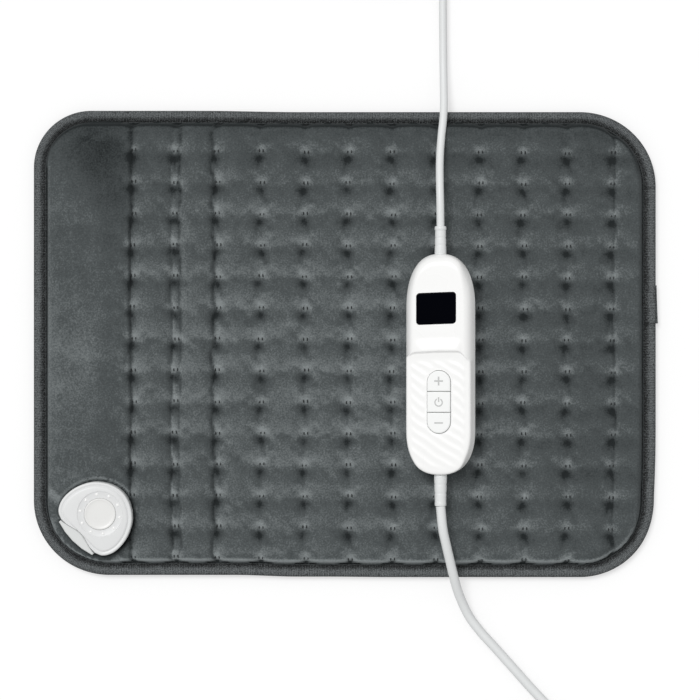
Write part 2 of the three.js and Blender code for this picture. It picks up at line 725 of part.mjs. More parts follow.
// One unbroken run: up and down between the tuft columns, back along the bottom edge, and up
// into the socket at both ends.
function makeHeatingWire() {
  const lastRun = TUFT_COLUMNS - 1;
  const runX = (run) => (run === lastRun ? PAD_LENGTH / 2 - LAST_RUN_INSET : columnX(run + 0.5));
  const between = (row) => rowY(row + 0.5);
  const flat = (x, y, bend = columnPitch / 2) => ({ at: new THREE.Vector3(x, y, wireZ), bend });
  const inSocket = (x, y, z) => ({ at: socketPoint(x, y, z), bend: WIRE_SMALL_BEND });
  const bladeEnd = carrierRear - BLADE_TAIL - CLEARANCE;
  const outgoing = socketPoint(WIRE_HOLE_X, -WIRE_HOLE_Y, wireZ);
  const incoming = socketPoint(WIRE_HOLE_X, WIRE_HOLE_Y, wireZ);
  const route = [
    inSocket(bladeEnd, -WIRE_HOLE_Y, TERMINAL_RISE),
    inSocket(WIRE_HOLE_X, -WIRE_HOLE_Y, TERMINAL_RISE),
    inSocket(WIRE_HOLE_X, -WIRE_HOLE_Y, wireZ),
    flat(outgoing.x, between(clearRow), WIRE_SMALL_BEND),
    flat(runX(0), between(clearRow)),
  ];
  for (let run = 0; run < TUFT_COLUMNS; run += 1) {
    const up = run % 2 === 0;
    const last = run >= lastRun - 1;
    const top = between(last ? 1 : 0);
    const bottom = between(TUFT_ROWS - 3);
    if (run > 0) route.push(flat(runX(run), up ? bottom : top));
    if (run < lastRun) route.push(flat(runX(run), up ? top : bottom));
  }
  const returnY = -PAD_WIDTH / 2 + RETURN_INSET;
  const risingX = (runX(0) + columnX(0)) / 2;
  route.push(flat(runX(lastRun), returnY, RETURN_BEND));
  route.push(flat(risingX, returnY));
  route.push(flat(risingX, incoming.y));
  route.push(inSocket(WIRE_HOLE_X, WIRE_HOLE_Y, wireZ));
  route.push(inSocket(WIRE_HOLE_X, WIRE_HOLE_Y, TERMINAL_RISE));
  route.push(inSocket(bladeEnd, WIRE_HOLE_Y, TERMINAL_RISE));
  return tube(roundedRoute(route, WIRE_BEND_STEPS), WIRE_DIAMETER / 2, WIRE_SIDES);
}

function makeCutout() {
  const x = columnX(0);
  const y = rowY(clearRow - 0.5);
  const [halfX, halfY] = [CUTOUT_LENGTH / 2, CUTOUT_WIDTH / 2];
  const shape = roundedRectangle(x - halfX, x + halfX, y - halfY, y + halfY, halfY / 2);
  const low = feltHigh + CLEARANCE;
  return prism(shape, low, low + CUTOUT_HEIGHT, 2);
}

// Socket on the corner of the pad

const socketX = SOCKET_INSET_X - PAD_LENGTH / 2;
const socketY = SOCKET_INSET_Y - PAD_WIDTH / 2;
const clearRow = Math.floor((firstRow - socketY - WIRE_RISE) / rowPitch - 0.5);
const socketTurn = THREE.MathUtils.degToRad(SOCKET_TURN_DEGREES);
const socket = new THREE.Group();
socket.position.set(socketX, socketY, 0);
socket.rotation.z = socketTurn;
socket.updateMatrixWorld(true);

const baseLow = SOCKET_SEAT + CLEARANCE;
const baseFloor = baseLow + SOCKET_FLOOR;
const baseHigh = baseLow + SOCKET_BASE_HEIGHT;
const latchLow = baseFloor + CLEARANCE + RELEASE_TRAVEL;
const latchHigh = latchLow + LATCH_THICKNESS;
const mouthLow = latchHigh + CLEARANCE;
const slotLow = mouthLow + MOUTH_WALL;
const slotHigh = slotLow + SLOT_HEIGHT;
const mouthHigh = slotHigh + MOUTH_WALL;
const plateLow = mouthHigh + CLEARANCE;
const socketHigh = plateLow + SOCKET_PLATE;
const flangeHigh = plateLow - CLEARANCE;
const flangeLow = flangeHigh - BUTTON_FLANGE;
const postHigh = baseFloor + SPRING_POST_HEIGHT;
const carrierHigh = MOUTH_REAR - CLEARANCE;
const carrierRear = carrierHigh - CARRIER_DEPTH;
const socketScrews = [
  [-SOCKET_SCREW_BACK, 0],
  [SOCKET_SCREW_FRONT, SOCKET_SCREW_SIDE],
  [SOCKET_SCREW_FRONT, -SOCKET_SCREW_SIDE],
];

function socketToPad(geometry) {
  return geometry.clone().applyMatrix4(socket.matrixWorld);
}

function socketPoint(x, y, z) {
  return new THREE.Vector3(x, y, z).applyMatrix4(socket.matrixWorld);
}

function wireHoles(low, high) {
  return [-WIRE_HOLE_Y, WIRE_HOLE_Y].map((y) =>
    column(WIRE_HOLE_RADIUS, low, high, WIRE_HOLE_X, y, HOLE_SIDES));
}

// The housing's side, from one corner of the lip round the back to the other, grown by a margin.
function socketSide(margin, detail = 2) {
  const back = SOCKET_SIDE_SHARES.map(([x, y]) => [-x * SOCKET_BACK, y * SOCKET_HALF_WIDTH]);
  const front = SOCKET_CORNER_SHARES.map(([x, y]) => [x * SOCKET_FRONT, y * SOCKET_HALF_WIDTH]);
  const half = [...back, ...front].map(([x, y]) => new THREE.Vector3(x, y, 0));
  const mirrored = half.slice(1).reverse().map((point) => new THREE.Vector3(point.x, -point.y, 0));
  const curve = new THREE.CatmullRomCurve3([...mirrored, ...half], false, "centripetal");
  const divisions = detail * (mirrored.length + half.length - 1);
  return curve.getPoints(divisions).map((point, i) => {
    const way = curve.getTangent(i / divisions);
    return [point.x - way.y * margin, point.y + way.x * margin];
  });
}

// The lip's outer edge, from one end of a width to the other.
function lipArc(half, margin) {
  const centre = SOCKET_FRONT - SOCKET_LIP_RADIUS;
  const radius = SOCKET_LIP_RADIUS + margin;
  return LIP_SHARES.map((share) => [centre + Math.sqrt(radius ** 2 - (share * half) ** 2), share * half]);
}

// The line where the cover meets the mouth piece, from one notch to the other.
function partingLine(half, shift) {
  const right = PARTING_SHARES.map(([x, y]) => new THREE.Vector3(x * SOCKET_DIP + shift, y * half, 0));
  const left = right.slice(0, -1).reverse().map((point) => new THREE.Vector3(point.x, -point.y, 0));
  const curve = new THREE.CatmullRomCurve3([...right, ...left], false, "centripetal");
  return curve.getPoints(2 * (right.length + left.length - 1)).map(({ x, y }) => [x, y]);
}

// The whole footprint: the housing's side closed by the lip's arc.
function socketOutline(margin, detail) {
  return polygon([...socketSide(margin, detail), ...lipArc(SOCKET_LIP_HALF + margin, margin)]);
}

const backingLow = feltHigh + CLEARANCE;
const backingHigh = backingLow + BACKING_THICKNESS;
const hookRear = LATCH_REACH - LATCH_HOOK;
const passageHalf = SOCKET_LIP_HALF + CLEARANCE;
const passageRear = MOUTH_REAR - CLEARANCE;
const mouthHalf = SOCKET_LIP_HALF - CLEARANCE;

function makeSocketBase() {
  const outer = prism(socketOutline(-BASE_INSET), baseLow, baseHigh);
  const hollow = prism(socketOutline(-BASE_INSET - SOCKET_WALL), baseFloor, baseHigh + OVERRUN);
  const front = SOCKET_FRONT + OVERRUN;
  const passage = block(passageRear, front, -passageHalf, passageHalf, baseFloor, baseHigh + OVERRUN);
  const post = column(SPRING_POST_OUTER, baseFloor - SOCKET_FLOOR / 2, postHigh);
  const postBore = column(SPRING_POST_INNER, baseFloor, postHigh + OVERRUN);
  const latchWay = LATCH_HALF + CLEARANCE;
  const gateEnd = SPRING_POST_OUTER + OVERRUN;
  const postGate = block(0, gateEnd, -latchWay, latchWay, baseFloor, postHigh + OVERRUN);
  const screwHoles = socketScrews.map(([x, y]) =>
    column(SOCKET_SCREW_RADIUS + CLEARANCE, baseLow - OVERRUN, baseFloor + OVERRUN, x, y, SMALL_SIDES));
  const holes = [...wireHoles(baseLow - OVERRUN, baseFloor + OVERRUN), ...screwHoles];
  const tray = cut(outer, hollow, passage);
  return cut(fuse(tray, post), postBore, postGate, ...holes);
}

function makeSocketCover() {
  const low = baseHigh + CLEARANCE;
  const reach = SOCKET_FRONT + OVERRUN;
  const ring = (inset, z) => socketSide(-inset).map(([x, y]) => new THREE.Vector3(x, y, z)).reverse();
  const dome = loft([
    ring(0, low),
    ring(0, socketHigh - SOCKET_BEVEL_DROP),
    ring(SOCKET_BEVEL / 3, socketHigh - SOCKET_BEVEL_DROP / 3),
    ring(SOCKET_BEVEL, socketHigh),
  ]);
  const ahead = polygon([
    ...partingLine(SOCKET_LIP_HALF, 0),
    [reach, -SOCKET_LIP_HALF],
    [reach, SOCKET_LIP_HALF],
  ]);
  const hollow = prism(socketOutline(-SOCKET_WALL), low - OVERRUN, plateLow);
  const passage = block(passageRear, reach, -passageHalf, passageHalf, low - OVERRUN, plateLow);
  const above = socketHigh + OVERRUN;
  const boreHigh = baseFloor + SOCKET_SCREW_BITE + OVERRUN;
  const bossHigh = plateLow + SOCKET_PLATE / 2;
  const bosses = socketScrews.map(([x, y]) =>
    column(SOCKET_BOSS_RADIUS, baseFloor + CLEARANCE, bossHigh, x, y, SMALL_SIDES));
  const bores = socketScrews.map(([x, y]) =>
    column(SOCKET_SCREW_RADIUS + CLEARANCE, baseFloor, boreHigh, x, y, SMALL_SIDES));
  const buttonHole = column(BUTTON_RADIUS + CLEARANCE, plateLow - OVERRUN, above, 0, 0, DISC_SIDES);
  const ringFloor = socketHigh - RING_DEPTH;
  const ringRecess = column(RING_RADIUS, ringFloor, above, 0, 0, DISC_SIDES);
  const pips = Array.from({ length: PIP_COUNT }, (_, i) => {
    const angle = (2 * Math.PI * (i + 0.5)) / PIP_COUNT;
    const [x, y] = [PIP_CIRCLE_RADIUS * Math.cos(angle), PIP_CIRCLE_RADIUS * Math.sin(angle)];
    return column(PIP_RADIUS, ringFloor - PIP_HEIGHT, ringFloor + PIP_HEIGHT, x, y, SMALL_SIDES / 2);
  });
  const front = prism(ahead, low - OVERRUN, above);
  const shell = fuse(cut(dome, hollow, passage, front), ...bosses);
  return fuse(cut(shell, ...bores, buttonHole, ringRecess), ...pips);
}

// The mouth piece: a lip that closes the housing's front, and the walls of the slot behind it.
function makeSocketMouth() {
  const crescent = polygon([...partingLine(mouthHalf, CLEARANCE), ...lipArc(mouthHalf, 0).reverse()]);
  const lip = bevelled(crescent, baseFloor + CLEARANCE, socketHigh, MOUTH_CHAMFER, 1);
  const [rear, front] = [MOUTH_REAR - OVERRUN, SOCKET_FRONT + OVERRUN];
  const sleeve = block(MOUTH_REAR, SOCKET_DIP + MOUTH_ROOT, -mouthHalf, mouthHalf, mouthLow, mouthHigh);
  const slot = block(rear, front, -SLOT_HALF, SLOT_HALF, slotLow, slotHigh);
  const gate = block(
    hookRear - CLEARANCE, LATCH_REACH + CLEARANCE, -LATCH_HOOK_HALF - CLEARANCE, LATCH_HOOK_HALF + CLEARANCE,
    mouthLow - OVERRUN, slotLow + OVERRUN,
  );
  return cut(fuse(lip, sleeve), slot, gate);
}

function makeReleaseButton() {
  return turned([
    [BUTTON_STEM_RADIUS, latchHigh + CLEARANCE],
    [BUTTON_STEM_RADIUS, flangeLow],
    [BUTTON_FLANGE_RADIUS, flangeLow],
    [BUTTON_FLANGE_RADIUS, flangeHigh],
    [BUTTON_RADIUS, flangeHigh],
    [BUTTON_RADIUS, socketHigh - BUTTON_DISH],
    [BUTTON_RADIUS - BUTTON_DISH, socketHigh],
    [BUTTON_RADIUS - BUTTON_RIM, socketHigh - BUTTON_DISH / 2],
    [BUTTON_STEM_RADIUS, socketHigh - BUTTON_DISH],
  ], DISC_SIDES);
}

// The latch plate under the button's stem, with the hook that holds the lead's plug.
function makeReleaseLatch() {
  const side = polygon([
    [-LATCH_HALF, latchLow],
    [LATCH_REACH, latchLow],
    [LATCH_REACH, latchHigh + LATCH_HOOK_RISE / 2],
    [hookRear, latchHigh + LATCH_HOOK_RISE],
    [hookRear, latchHigh],
    [-LATCH_HALF, latchHigh],
  ]);
  const hooked = prism(side, -LATCH_HALF, LATCH_HALF).rotateX(Math.PI / 2);
  const beside = (from, to) => block(
    hookRear - OVERRUN, LATCH_REACH + OVERRUN, from, to, latchHigh, latchHigh + LATCH_HOOK_RISE + OVERRUN,
  );
  return cut(
    hooked,
    beside(LATCH_HOOK_HALF, LATCH_HALF + OVERRUN),
    beside(-LATCH_HALF - OVERRUN, -LATCH_HOOK_HALF),
  );
}

function makeReleaseSpring() {
  const low = postHigh + CLEARANCE + SPRING_WIRE / 2;
  const high = flangeLow - CLEARANCE - SPRING_WIRE / 2;
  const steps = SPRING_CURLS * SPRING_STEPS;
  const points = Array.from({ length: steps + 1 }, (_, i) => {
    const angle = (2 * Math.PI * i) / SPRING_STEPS;
    const z = low + ((high - low) * i) / steps;
    return new THREE.Vector3(SPRING_RADIUS * Math.cos(angle), SPRING_RADIUS * Math.sin(angle), z);
  });
  report("release spring", leastGap(points, SPRING_WIRE, SPRING_STEPS));
  return tube(points, SPRING_WIRE / 2, SPRING_SIDES);
}

function makeContactCarrier() {
  const body = block(carrierRear, carrierHigh, -mouthHalf, mouthHalf, mouthLow, mouthHigh);
  const windows = bladeRows.map((y) => block(
    carrierRear - OVERRUN, carrierHigh + OVERRUN,
    y - BLADE_HALF - CLEARANCE, y + BLADE_HALF + CLEARANCE,
    bladeLow - CLEARANCE, bladeLow + BLADE_THICKNESS + CLEARANCE,
  ));
  return cut(body, ...windows);
}

const bladeRows = [-BLADE_PITCH, 0, BLADE_PITCH];
const bladeLow = TERMINAL_RISE - BLADE_THICKNESS / 2;

// A contact blade: a tail for the wire, and a nose bent up to press on the plug.
function makeContactBlade(y) {
  const [rear, front] = [carrierRear - BLADE_TAIL, carrierHigh + BLADE_REACH];
  const rise = BLADE_THICKNESS;
  const side = polygon([
    [rear, bladeLow],
    [front, bladeLow],
    [front, bladeLow + BLADE_THICKNESS + rise],
    [front - BLADE_THICKNESS, bladeLow + BLADE_THICKNESS + rise],
    [front - BLADE_THICKNESS, bladeLow + BLADE_THICKNESS],
    [rear, bladeLow + BLADE_THICKNESS],
  ]);
  return prism(side, -BLADE_HALF, BLADE_HALF).rotateX(Math.PI / 2).translate(0, y, 0);
}

// The plate inside the pad that clamps the quilt to the socket: three arms, one to each screw.
function makeBackingPlate() {
  const half = BACKING_ARM_HALF;
  const arms = socketScrews.map(([x, y]) => {
    const arm = roundedRectangle(-half, Math.hypot(x, y) + half, -half, half, BACKING_ARM_CORNER);
    return prism(arm, backingLow, backingHigh, 3).rotateZ(Math.atan2(y, x));
  });
  const headTop = backingLow + SOCKET_SCREW_HEAD + CLEARANCE;
  const sinks = socketScrews.map(([x, y]) =>
    column(SOCKET_SCREW_HEAD_RADIUS + CLEARANCE, backingLow - OVERRUN, headTop, x, y, SMALL_SIDES));
  const holes = socketScrews.map(([x, y]) =>
    column(SOCKET_SCREW_RADIUS + CLEARANCE, backingLow, backingHigh + OVERRUN, x, y, SMALL_SIDES));
  return cut(fuse(...arms), ...sinks, ...holes);
}

function makeSocketScrew([x, y]) {
  const headTop = backingLow + SOCKET_SCREW_HEAD;
  const tip = baseFloor + SOCKET_SCREW_BITE;
  return turned([
    [SOCKET_SCREW_HEAD_RADIUS, backingLow],
    [SOCKET_SCREW_HEAD_RADIUS, headTop],
    [SOCKET_SCREW_RADIUS, headTop],
    [SOCKET_SCREW_RADIUS, tip - SOCKET_SCREW_RADIUS],
    [SOCKET_SCREW_RADIUS / 4, tip],
  ], SMALL_SIDES).translate(x, y, 0);
}

// Controller

const controller = new THREE.Group();
controller.position.set(CONTROLLER_X, CONTROLLER_Y, CONTROLLER_Z);
controller.rotation.y = -THREE.MathUtils.degToRad(CONTROLLER_ROLL_DEGREES);

const endY = CONTROLLER_LENGTH / 2;
const faceInner = FRONT_DEPTH - FACE_WALL;
const gripZ = FRONT_DEPTH - GRIP_SINK;
const displayY = endY - DISPLAY_END;
const stripBottom = KEY_STRIP_END - endY;
const stripTop = stripBottom + KEY_STRIP_LENGTH;
const gripStepY = THREE.MathUtils.lerp(stripTop, displayY - DISPLAY_WIDTH / 2, GRIP_STEP_SHARE);

// The housing's outline: straight sides with a long superellipse end on top and a short one below.
function controllerOutline(inset, z) {
  const half = CONTROLLER_WIDTH / 2 - inset;
  const ends = [
    [endY - TOP_END, TOP_END - inset * END_ROLL_SHARE, 0],
    [BOTTOM_END - endY, BOTTOM_END - inset * END_ROLL_SHARE, Math.PI],
  ];
  return ends.flatMap(([y, reach, start]) =>
    Array.from({ length: END_STEPS + 1 }, (_, step) => {
      const angle = start + (Math.PI * step) / END_STEPS;
      const power = (value) => Math.sign(value) * Math.abs(value) ** (2 / END_POWER);
      const [across, along] = [power(Math.cos(angle)), power(Math.sin(angle))];
      const flat = step === 0 || step === END_STEPS ? 0 : along;
      return new THREE.Vector3(half * across, y + reach * flat, z);
    }));
}

function controllerBody(profileShares, wall, inset, low, high) {
  return loft(profileShares.map(([share, height]) =>
    controllerOutline(wall + share * inset, THREE.MathUtils.lerp(low, high, height))));
}

function reliefHole() {
  const radius = RELIEF_NECK_RADIUS + CLEARANCE;
  return column(radius, -endY - OVERRUN, endY + OVERRUN, 0, 0, ROUND_SIDES).rotateX(Math.PI / 2);
}

const screwY = endY - SCREW_END;
const screwPlaces = [
  [-SCREW_X, screwY],
  [SCREW_X, screwY],
  [-SCREW_X, -screwY],
  [SCREW_X, -screwY],
];

// The sunk field round the keys: the face's own outline below a curved step.
function gripField(margin) {
  const field = controllerOutline(FACE_INSET + GRIP_MARGIN + margin, 0).map(({ x, y }) => [x, y]);
  const half = CONTROLLER_WIDTH / 2;
  const step = STEP_SHARES.map((share) => {
    const x = share * half;
    return [x, gripStepY - margin - GRIP_STEP_SAG * (x / GRIP_STEP_RUN) ** 2];
  });
  const below = polygon([[-half, -endY], [half, -endY], ...step]);
  const high = FRONT_DEPTH + OVERRUN;
  return common(prism(polygon(field), gripZ, high), prism(below, gripZ - OVERRUN, high + OVERRUN));
}

function gripRibs() {
  const slope = THREE.MathUtils.degToRad(RIB_SLOPE_DEGREES);
  const count = Math.ceil(CONTROLLER_LENGTH / RIB_PITCH);
  const half = RIB_WIDTH / 2;
  const section = polygon([
    [-half, -RIB_HEIGHT],
    [half, -RIB_HEIGHT],
    [half, 0],
    [0, RIB_HEIGHT],
    [-half, 0],
  ]);
  const ribs = Array.from({ length: count }, (_, i) =>
    prism(section, -CONTROLLER_WIDTH, CONTROLLER_WIDTH)
      .rotateX(Math.PI / 2)
      .rotateZ(slope + Math.PI / 2)
      .translate(0, gripStepY + BOTTOM_END / 2 - i * RIB_PITCH, gripZ));
  const keyMargin = keyStrip(CLEARANCE + RIB_KEY_MARGIN);
  const field = asSolid(gripField(RIB_WIDTH / 3)).translate(0, 0, -RIB_HEIGHT);
  const keys = asSolid(prism(keyMargin, 0, FRONT_DEPTH + OVERRUN));
  return asGeometry(asSolid(fuse(...ribs)).intersect(field).subtract(keys));
}

function makeFrontShell() {
  const outer = controllerBody(FRONT_PROFILE_SHARES, 0, FACE_INSET, CLEARANCE / 2, FRONT_DEPTH);
  const hollow = controllerBody(FRONT_PROFILE_SHARES, SHELL_WALL, FACE_INSET, -OVERRUN, faceInner);
  const bossHigh = faceInner + FACE_WALL / 2;
  const bossRadius = SCREW_SHAFT_RADIUS + CLEARANCE + BOSS_WALL;
  const bosses = screwPlaces.map(([x, y]) =>
    column(bossRadius, boardHigh + CLEARANCE, bossHigh, x, y, SMALL_SIDES));
  const bores = screwPlaces.map(([x, y]) =>
    column(SCREW_SHAFT_RADIUS + CLEARANCE, 0, screwTip + CLEARANCE, x, y, SMALL_SIDES));
  const keyHole = prism(keyStrip(CLEARANCE), faceInner - OVERRUN, FRONT_DEPTH + OVERRUN);
  const displayHole = prism(displayOutline(CLEARANCE), faceInner - OVERRUN, FRONT_DEPTH + OVERRUN, 2);
  const shell = fuse(cut(outer, hollow), ...bosses);
  const sunk = fuse(cut(shell, gripField(0)), gripRibs());
  return cut(sunk, ...bores, keyHole, displayHole, reliefHole());
}

function makeRearShell() {
  const outer = controllerBody(REAR_PROFILE_SHARES, 0, REAR_INSET, CLEARANCE / 2, REAR_DEPTH);
  const wallLow = REAR_DEPTH - SHELL_WALL;
  const hollow = controllerBody(REAR_PROFILE_SHARES, SHELL_WALL, REAR_INSET, -OVERRUN, wallLow);
  const inner = REAR_DEPTH - SHELL_WALL / 2;
  const bossRadius = SCREW_HEAD_RADIUS + CLEARANCE + BOSS_WALL;
  const bosses = screwPlaces.map(([x, y]) =>
    column(bossRadius, boardHigh + CLEARANCE, inner, x, y, SMALL_SIDES));
  const seat = REAR_DEPTH - SCREW_HEAD_SINK - SCREW_HEAD_HEIGHT;
  const sinks = screwPlaces.map(([x, y]) =>
    column(SCREW_HEAD_RADIUS + CLEARANCE, seat - CLEARANCE, REAR_DEPTH + OVERRUN, x, y, SMALL_SIDES));
  const bores = screwPlaces.map(([x, y]) =>
    column(SCREW_SHAFT_RADIUS + CLEARANCE, 0, REAR_DEPTH, x, y, SMALL_SIDES));
  return cut(fuse(cut(outer, hollow), ...bosses), ...sinks, ...bores, reliefHole()).rotateY(Math.PI);
}

const boardHigh = BOARD_THICKNESS / 2;
const screwSeat = -(REAR_DEPTH - SCREW_HEAD_SINK - SCREW_HEAD_HEIGHT);
const screwTip = boardHigh + CLEARANCE + SCREW_BITE;

function makeShellScrew([x, y]) {
  const head = screwSeat - SCREW_HEAD_HEIGHT;
  return turned([
    [SCREW_HEAD_CROWN, head],
    [SCREW_HEAD_RADIUS, head + SCREW_HEAD_HEIGHT / 2],
    [SCREW_HEAD_RADIUS, screwSeat],
    [SCREW_SHAFT_RADIUS, screwSeat],
    [SCREW_SHAFT_RADIUS, screwTip - SCREW_SHAFT_RADIUS],
    [SCREW_SHAFT_RADIUS / 4, screwTip],
  ], SMALL_SIDES).translate(x, y, 0);
}

function displayOutline(margin) {
  const [halfX, halfY] = [DISPLAY_LENGTH / 2 + margin, DISPLAY_WIDTH / 2 + margin];
  return roundedRectangle(
    DISPLAY_X - halfX, DISPLAY_X + halfX, displayY - halfY, displayY + halfY, DISPLAY_CORNER + margin,
  );
}

function makeDisplayWindow() {
  const flangeHigh = faceInner - CLEARANCE;
  return fuse(
    prism(displayOutline(0), flangeHigh - DISPLAY_FLANGE_DEPTH, FRONT_DEPTH - DISPLAY_SINK, 3),
    prism(displayOutline(DISPLAY_FLANGE), flangeHigh - DISPLAY_FLANGE_DEPTH, flangeHigh, 3),
  );
}

function makeDisplayModule() {
  const high = faceInner - 2 * CLEARANCE - DISPLAY_FLANGE_DEPTH;
  const halfX = DISPLAY_LENGTH / 2 + DISPLAY_MODULE_BORDER;
  const halfY = DISPLAY_WIDTH / 2 + DISPLAY_MODULE_BORDER;
  const body = roundedRectangle(
    DISPLAY_X - halfX, DISPLAY_X + halfX, displayY - halfY, displayY + halfY, DISPLAY_CORNER / 2,
  );
  const glass = displayOutline(-DISPLAY_SINK);
  const step = high - DISPLAY_FLANGE_DEPTH;
  return fuse(prism(body, boardHigh + CLEARANCE, step, 2), prism(glass, boardHigh + CLEARANCE, high, 2));
}

// The stadium of the three keys together.
function keyStrip(margin) {
  const radius = KEY_STRIP_WIDTH / 2;
  const shape = new THREE.Shape();
  shape.absarc(0, stripTop - radius, radius + margin, 0, Math.PI);
  shape.absarc(0, stripBottom + radius, radius + margin, Math.PI, 2 * Math.PI);
  return shape;
}

const keyLength = KEY_STRIP_LENGTH / 3;
const keyMiddle = (order) => stripTop - (order + 0.5) * keyLength;

// One key: its third of the strip, a flange under the shell, and a stem into its switch.
function makeKey(order) {
  const half = keyLength / 2 - CLEARANCE / 2;
  const middle = keyMiddle(order);
  const reach = KEY_STRIP_WIDTH + KEY_STRIP_LENGTH;
  const low = order === 2 ? -reach : middle - half;
  const high = order === 0 ? reach : middle + half;
  const third = block(-reach, reach, low, high, 0, FRONT_DEPTH + OVERRUN);
  const flangeHigh = faceInner - CLEARANCE;
  const flangeLow = flangeHigh - KEY_FLANGE_DEPTH;
  const crown = prism(keyStrip(0), flangeLow, gripZ + KEY_PROUD);
  const flange = prism(keyStrip(KEY_FLANGE), flangeLow, flangeHigh);
  const stem = column(KEY_STEM_RADIUS, keyStemLow, flangeHigh, 0, middle, SMALL_SIDES);
  return fuse(common(fuse(crown, flange), third), stem);
}

const switchLow = boardHigh + CLEARANCE;
const switchHigh = switchLow + SWITCH_HEIGHT;
const keyStemLow = switchHigh - KEY_STEM_ENTRY;

// A push switch: a square body whose well takes the key's stem.
function makeSwitch(order) {
  const [half, middle] = [SWITCH_WIDTH / 2, keyMiddle(order)];
  const wellFloor = keyStemLow - KEY_TRAVEL - CLEARANCE;
  const body = block(-half, half, middle - half, middle + half, switchLow, switchHigh);
  const well = column(KEY_STEM_RADIUS + CLEARANCE, wellFloor, switchHigh + OVERRUN, 0, middle, SMALL_SIDES);
  return cut(body, well);
}

function makeBoard() {
  const half = BOARD_WIDTH / 2;
  const shape = roundedRectangle(-half, half, BOARD_END - endY, endY - BOARD_END, BOARD_CORNER);
  const holes = screwPlaces.map(([x, y]) =>
    column(SCREW_SHAFT_RADIUS + CLEARANCE, -BOARD_THICKNESS, BOARD_THICKNESS, x, y, SMALL_SIDES));
  const inside = controllerOutline(SHELL_WALL + 2 * CLEARANCE, 0).map(({ x, y }) => [x, y]);
  const body = common(prism(shape, -boardHigh, boardHigh, 4), prism(polygon(inside), -OVERRUN, OVERRUN));
  return cut(body, ...holes);
}

const underBoard = -boardHigh - CLEARANCE;

function makeCapacitor() {
  const [halfX, halfY] = [CAPACITOR_WIDTH / 2, CAPACITOR_LENGTH / 2];
  const shape = roundedRectangle(
    CAPACITOR_X - halfX, CAPACITOR_X + halfX, CAPACITOR_Y - halfY, CAPACITOR_Y + halfY, CAPACITOR_CORNER,
  );
  return prism(shape, underBoard - CAPACITOR_HEIGHT, underBoard, 2);
}

// A flat power package: a thick body and a thin drilled tab.
function makeTriac() {
  const [half, tabEnd] = [TRIAC_WIDTH / 2, TRIAC_Y + TRIAC_LENGTH / 2];
  const [low, middle] = [TRIAC_Y - TRIAC_LENGTH / 2, TRIAC_Y + TRIAC_LENGTH / 8];
  const [left, right] = [TRIAC_X - half, TRIAC_X + half];
  const body = block(left, right, low, middle, underBoard - TRIAC_HEIGHT, underBoard);
  const tab = block(left, right, low, tabEnd, underBoard - TRIAC_TAB, underBoard);
  const hole = column(
    TRIAC_HOLE_RADIUS, underBoard - TRIAC_TAB - OVERRUN, underBoard + OVERRUN,
    TRIAC_X, (middle + tabEnd) / 2, SMALL_SIDES,
  );
  return cut(fuse(body, tab), hole);
}

function makeFuse() {
  const half = FUSE_LENGTH / 2;
  const capStart = half - FUSE_CAP;
  return turned([
    [FUSE_RADIUS, -half],
    [FUSE_RADIUS, -capStart],
    [FUSE_GLASS_RADIUS, -capStart],
    [FUSE_GLASS_RADIUS, capStart],
    [FUSE_RADIUS, capStart],
    [FUSE_RADIUS, half],
  ], SMALL_SIDES).rotateX(Math.PI / 2).translate(FUSE_X, FUSE_Y, underBoard - FUSE_RADIUS);
}

// A strain relief along +y: a stub inside, a flange behind the wall, a neck through it, and the
// tapered sleeve with a collar at its tip.
const reliefFlangeEnd = endY - RELIEF_SEAT;
const reliefStubEnd = reliefFlangeEnd - RELIEF_FLANGE_LENGTH - RELIEF_STUB_LENGTH;

// A screw terminal for the cord's wires, next to the strain relief's inner end.
function makeTerminal(side) {
  const half = TERMINAL_WIDTH / 2;
  const near = reliefStubEnd - CLEARANCE;
  const middle = near - TERMINAL_LENGTH / 2;
  const low = underBoard - TERMINAL_HEIGHT;
  const body = block(-half, half, near - TERMINAL_LENGTH, near, low, underBoard);
  const wells = [-half / 2, half / 2].map((x) =>
    column(TERMINAL_HOLE_RADIUS, low - OVERRUN, underBoard - TERMINAL_HEIGHT / 2, x, middle, SMALL_SIDES));
  return cut(body, ...wells).rotateZ(side > 0 ? 0 : Math.PI);
}

function makeStrainRelief(length, growth) {
  const tip = endY + length;
  const collar = tip - RELIEF_COLLAR_LENGTH;
  const flangeStart = reliefFlangeEnd - RELIEF_FLANGE_LENGTH;
  return turned([
    [RELIEF_STUB_RADIUS, reliefStubEnd],
    [RELIEF_STUB_RADIUS, flangeStart],
    [RELIEF_FLANGE_RADIUS, flangeStart],
    [RELIEF_FLANGE_RADIUS, reliefFlangeEnd],
    [RELIEF_NECK_RADIUS, reliefFlangeEnd],
    [RELIEF_NECK_RADIUS, endY],
    [RELIEF_NECK_RADIUS + growth, endY + CLEARANCE],
    [RELIEF_NECK_RADIUS + growth, endY + RELIEF_COLLAR_LENGTH],
    [RELIEF_TIP_RADIUS + growth / 2, collar],
    [RELIEF_COLLAR_RADIUS, collar + CLEARANCE],
    [RELIEF_COLLAR_RADIUS, tip - CLEARANCE],
    [RELIEF_TIP_RADIUS, tip],
  ]).rotateX(-Math.PI / 2);
}

// Cords

function makeRun(points, diameter) {
  const curve = new THREE.CatmullRomCurve3(points, false, "centripetal");
  const steps = Math.round(curve.getLength() / (RUN_STEP_DIAMETERS * diameter));
  const shape = polygon(Array.from({ length: RUN_SIDES }, (_, side) => {
    const angle = (2 * Math.PI * side) / RUN_SIDES;
    return [(diameter / 2) * Math.cos(angle), (diameter / 2) * Math.sin(angle)];
  }));
  return new THREE.ExtrudeGeometry(shape, { steps, extrudePath: curve, bevelEnabled: false });
}

